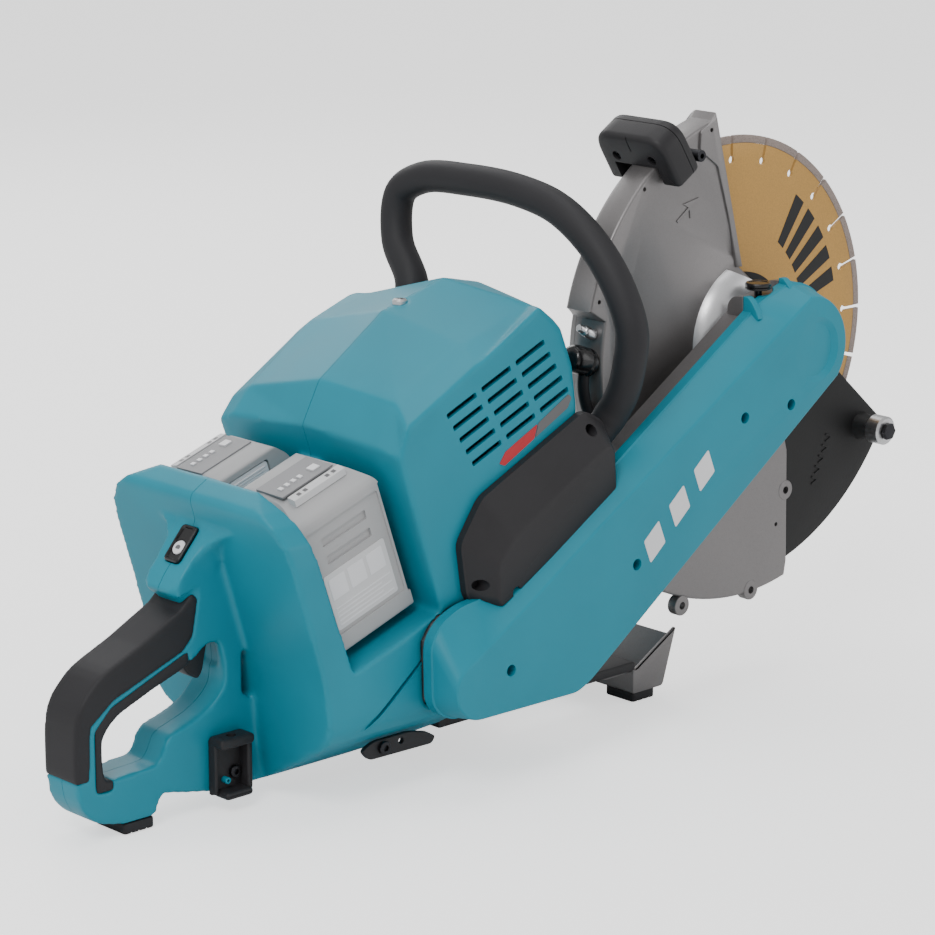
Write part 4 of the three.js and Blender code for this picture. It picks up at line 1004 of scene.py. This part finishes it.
def pack_case():
    """The right-hand pack's case, with its recessed side, grip bars, latch well and terminal well."""
    half, top, outer, inner = PACK_HALF, PACK_LENGTH, -PACK_OUTER, -PACK_INNER
    silhouette = [(-half, 0, 3), (half, 0, 3), (half, top - 16, 7), (half - 14, top, 7),
                  (-half + 12, top, 7), (-half, top - 14, 7)]
    section = [(outer, 0, 3), (inner, 0, 3), (inner, top - 3, 2), (inner - 12, top, 4),
               (outer + 22, top - 4, 6), (outer, top - 14, 5)]
    body = common(pack_side(silhouette, -100, 0), pack_end(section, -60, 60))
    cut(body, pack_side(rectangle(-half + 4, half - 4, 14, 96, 3), outer - 3, outer + 1.2))
    for low in (66, 80):
        cut(body, painted(pack_side(rectangle(-21, 21, low, low + 7, 1.5), outer - 2, outer + 3), PACK_LIGHT))
    for u in (-half, half):
        cut(body, pack_side(rectangle(u - 2, u + 2, 12, 100, 1), outer - 2, outer + 4))
    cut(body, pack_side(rectangle(-19, 19, 90, 110, 3), inner - 5, inner + 2))
    cut(body, pack_end([(-61, -2), (-33, -2), (-33, 52), (-61, 52)], -half - 2, -half + 9))
    strip = pack_end([(-74, 112.5, 1), (-66, 114, 1), (-66, 118), (-74, 117)], -20, 20)
    cut(body, painted(strip, PACK_LIGHT))
    return body


def pack_trim():
    """The pack's blank label, charge gauge, clip bar and dark grey blocks that are painted shade for the clip
    bar's holes, each as (solid, name, material).
    """
    top, outer = PACK_LENGTH, -PACK_OUTER
    label = pack_side(rectangle(-29, 29, 17, 60, 2), outer + 0.6, outer + 2)
    gauge = pack_end([(-58, top - 1.6), (-30, top - 1.2), (-30, top + 0.5), (-58, top - 0.2)], -26, 22)
    lamps = [pack_end([(-50, top), (-46, top), (-46, top + 1.0), (-50, top + 0.8)], -20 + 6 * i, -17 + 6 * i)
             for i in range(4)]
    lamps.append(pack_end([(-51.5, top), (-44.5, top), (-44.5, top + 1.2), (-51.5, top + 1)], 9, 16))
    lamps = gather(*lamps)
    lines = [rectangle(-26, 26 - 9 * (i % 2), 20 + 3.2 * i, 21 + 3.2 * i) for i in range(5)]
    fields = [rectangle(-26 + 18 * i, -11 + 18 * i, 40, 56, 1) for i in range(3)]
    fields = gather(*[pack_side(shape, outer + 0.3, outer + 1) for shape in lines + fields])
    bar = pack_end([(-68, top - 7), (-61, top - 6), (-61, top - 0.6), (-68, top - 1.8)], -24, 24)
    # the bar is not cut: dark grey blocks in it are painted shade where its four holes are
    holes = [pack_end([(-66, top - 3), (-63, top - 3), (-63, top - 0.7), (-66, top - 1.2)], u, u + 3)
             for u in (-18, -12, 9, 15)]
    return [(label, "label", PACK_LIGHT), (gauge, "gauge", PACK_SHADE), (lamps, "gauge_lamps", WHITE),
            (fields, "label_fields", WHITE), (bar, "clip_bar", PACK_LIGHT),
            (gather(*holes), "clip_hole_shade", LABEL_GREY)]


def pack_button():
    """The release button on the pack's inner side, with six grip ribs."""
    inner = -PACK_INNER
    button = pack_side(rectangle(-18, 18, 91, 109, 3), inner - 3.2, inner - 0.6, 0.5)
    for i in range(6):
        join(button, pack_side(rectangle(-15, 15, 94 + 2.2 * i, 95 + 2.2 * i), inner - 1, inner + 0.1))
    return button


def battery(side):
    """One pack, modelled on the right (side -1) and mirrored for the left."""
    name = "right" if side < 0 else "left"
    pack, latch = f"battery_{name}", f"battery_button_{name}"
    case_node = (f"battery_pack_{name}",)
    solids = [(pack_case(), f"{pack}_case", PACK_GREY, pack, "pack_grey", case_node, (PACK_LIGHT,))]
    for obj, tag, material in pack_trim():
        solids.append((obj, f"{pack}_{tag}", material, pack, "pack_grey", (), ()))
    solids.append((pack_button(), f"{pack}_release", WHITE, latch, "white_plastic", (latch,), ()))
    for obj, title, material, body, slot, nodes, extra in solids:
        if side > 0:
            obj.data.transform(Matrix.Scale(-1, 4, (0, 1, 0)))
            obj.data.flip_normals()
        piece(obj, title, material, body, slot, nodes, 30, extra)


# ---- small parts
def trigger():
    side = [(66, 134, 3), (54, 122, 5), (47, 107, 3), (53, 99, 2), (61, 94, 3), (65, 99, 3), (71, 126, 3)]
    blade = join(plate(side, -8, 8, 1.6), rod((66, 130), 4, -8, 8, 0.5))
    piece(blade, "trigger_blade", BLACK, "trigger", "black_plastic", ("trigger",))


def top_screw():
    profile = [(0.5, 332), (5.5, 332), (5.5, 334.6), (4.6, 335.6), (0.5, 336.2)]
    head = skin([level_ring((258, 0), r, z, 32) for r, z in profile])
    cut(head, floor_plate(rectangle(254.6, 261.4, -0.8, 0.8), 334.4, 340))
    cut(head, floor_plate(rectangle(257.2, 258.8, -3.4, 3.4), 334.4, 340))
    piece(head, "pod_screw_head", STEEL, "root", "steel", ("pod_screw",))


def lock_button():
    profile = [(3, 305), (3, 320), (9, 320.2), (10, 320.8), (10, 321.8), (9.3, 322.3), (10, 322.8),
               (10, 324.4), (9, 325.4), (7.6, 325.4), (7.2, 324.9), (0.6, 324.9)]
    knob = skin([level_ring(LOCK, r, z) for r, z in profile])
    piece(knob, "spindle_lock_knob", GLOSS_BLACK, "spindle_lock", "black_plastic", ("spindle_lock_button",))
    for i, (x, lift) in enumerate(((512, 0), (551, 7))):
        side = [(-103.6, 300), (-88, 300), (-88, 311 + lift, 4), (-94, 317 + lift, 3), (-103.6, 318 + lift)]
        piece(front_plate(side, x - 3, x + 3, 0.6), f"lock_rib_{i + 1}", CASTING, "root", "cast_aluminium")


def feet():
    for node in ("rear_foot", "front_foot_right", "front_foot_left"):
        low, high = (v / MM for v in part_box(node))
        pad = floor_plate(rectangle(low.x, high.x, low.y, high.y, 3), low.z, high.z, 1.2)
        for i in range(3):
            x = low.x + (high.x - low.x) * (i + 1) / 4
            cut(pad, block(x - 1, x + 1, low.y - 2, high.y + 2, low.z - 1, low.z + 1.2, 0))
        piece(pad, node + "_pad", RUBBER, "root", "rubber", (node,))


def leg_and_rail():
    side = [(447, 8.3, 2), (480, 8.3, 3), (494, 53, 2), (451, 28, 2), (447, 28, 1)]
    leg = plate(side, -55, 55, 1.0)
    cut(leg, plate([(450, 11.3, 2), (477.4, 11.3, 2), (510, 90), (450, 90)], -52, 52))
    join(leg, block(420, 448.5, -50, 50, 24, 28, 0.6))
    for y in (-30, 26):
        join(leg, plate([(450, 11), (462, 11), (452, 26)], y, y + 4, 0.4))
    piece(leg, "front_leg_cast", CASTING, "root", "cast_aluminium", ("front_leg",), 30)
    rail = block(242, 446, 34, 58, 28.4, 35.6, 1.2)
    join(rail, block(242, 446, -58, -34, 28.4, 35.6, 1.2), block(242, 262, -58, 58, 28.5, 35.5, 1.2),
         block(420, 446, -58, 58, 28.5, 35.5, 1.2))
    piece(rail, "base_rail_frame", BLACK, "root", "black_plastic", ("base_rail",), 30)


def bracket():
    side = [(145, 40, 4), (152, 32, 4), (212, 31, 3), (215, 36, 2), (207, 41, 3), (190, 45, 4), (156, 45, 4)]
    body = cut(plate(side, -84, -80, 0.8), rod((182, 40), 2.5, -110, -70))
    piece(body, "dolly_bracket_plate", BLACK, "root", "black_plastic", ("dolly_bracket",))
    socket_screw((165, 39), 5, -87.3, 3, "dolly_bracket_socket", ("dolly_bracket_screw",))


def wrench_holder():
    body = block(60, 90, -21.8, -18.3, 12, 53, 1)
    join(body, block(60, 90, -34, -18.3, 47.5, 55, 2), block(64, 88, -34, -18.3, 10, 15.5, 2),
         block(85.5, 90, -31, -18.3, 13, 50, 1.4), block(60, 63, -26, -18.3, 13, 50, 1))
    bore = turned(rod((0, 0), 3.6, 40, 70), math.radians(90), "X")
    cut(body, moved(bore, 74, -27, 0))
    piece(body, "wrench_holder_clip", BLACK, "root", "black_plastic", ("wrench_holder",))
    socket_screw((80, 26), 4.6, -25, 3.5, "wrench_holder_socket", ("wrench_holder_screw",))
    socket_screw((71, 22), 2.4, -27, 5.8, "wrench_holder_peg", (), TEAL, "teal_plastic")


def spindle_parts():
    profile = [(0.5, -47.1), (36, -47.1), (36, -45.5), (34, -44.5), (22, -44), (20, -42.9), (0.5, -42.9)]
    flange = cut(lathe(AXLE, profile), rod(AXLE, 8.3, -60, -30))
    piece(flange, "outer_flange_disc", STEEL, "wheel", "steel", ("outer_flange",))
    hexagon = join(rod(AXLE, 12, -42.1, -34, 0.8, 60), rod(AXLE, 5, -60, -42, 0, 10))
    piece(hexagon, "wheel_bolt_hexagon", DARK_STEEL, "wheel", "dark_steel", ("wheel_bolt",))


def dress_frame():
    """Finishes for the CAD nodes that stay."""
    finishes = {
        BLACK: ("trigger_switch", "terminal_block_right", "terminal_block_left", "cooling_fan"),
        DARK_STEEL: ("controller", "cover_screw_1", "cover_screw_2", "cover_screw_3", "cover_screw_4"),
        COPPER: ("motor_stator",),
        STEEL: ("motor_rotor", "motor_bearing_left", "motor_bearing_right", "drive_pulley", "driven_pulley",
                "spindle_bearing_outer", "spindle_bearing_inner", "spindle", "inner_flange"),
        RUBBER: ("drive_belt",),
        CASTING: ("arm_casting",),
    }
    for material, nodes in finishes.items():
        for node in nodes:
            painted(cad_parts[node], material)


# ---------------------------------------------------------------- studio
def point_at(obj, place, target):
    obj.location = place
    obj.rotation_euler = (Vector(target) - obj.location).to_track_quat("-Z", "Y").to_euler()


def studio():
    floor = floor_plate([(-6000, -6000), (6000, -6000), (6000, 6000), (-6000, 6000)], -20, -0.5)
    floor.name = "studio_floor"
    paper, tree, surface = shader("floor_paper", (0.86, 0.86, 0.86), 0.7)
    seen = tree.nodes.new("ShaderNodeLightPath")  # the paper glows for the camera only
    glow = add_node(tree, "ShaderNodeMath", {1: 1.1}, [(seen.outputs["Is Camera Ray"], 0)])
    glow.operation = "MULTIPLY"
    tree.links.new(glow.outputs["Value"], surface.inputs["Emission Strength"])
    surface.inputs["Emission Color"].default_value = (1, 1, 1, 1)
    painted(floor, paper)
    world = bpy.data.worlds.new("studio")
    bpy.context.scene.world = world
    world.use_nodes = True
    world.node_tree.nodes["Background"].inputs["Color"].default_value = (1, 1, 1, 1)
    world.node_tree.nodes["Background"].inputs["Strength"].default_value = 0.62
    lamps = (
        ("key", (-1.8, -1.2, 2.6), 1.2, 44), ("fill", (1.9, -2.2, 1.0), 1.6, 12),
        ("top", (0.4, 0.3, 2.8), 1.8, 22), ("rim", (1.2, 2.2, 1.6), 1.4, 16),
        ("back", (-2.2, 1.4, 1.6), 1.6, 8),
    )
    for name, place, size, power in lamps:
        light = bpy.data.lights.new(name, "AREA")
        light.size = size
        light.energy = power
        point_at(in_scene(name, light), place, (0.33, 0, 0.2))


def camera():
    lens = bpy.data.cameras.new("camera")
    lens.lens = 130.3
    lens.sensor_width = 36
    view = in_scene("camera", lens)
    point_at(view, (-1.3336, -1.7781, 0.8187), (0.3245, 0, 0.199))
    bpy.context.scene.camera = view


camera()
studio()
housing()
grip_strips()
lamp_switch()
belt_cover()
arm_marks()
front_handle()
side_cover()
guard()
guard_grip()
water_supply()
lower_guard()
cutting_wheel()
spindle_parts()
battery(-1)
battery(1)
trigger()
top_screw()
lock_button()
feet()
leg_and_rail()
bracket()
wrench_holder()
dress_frame()
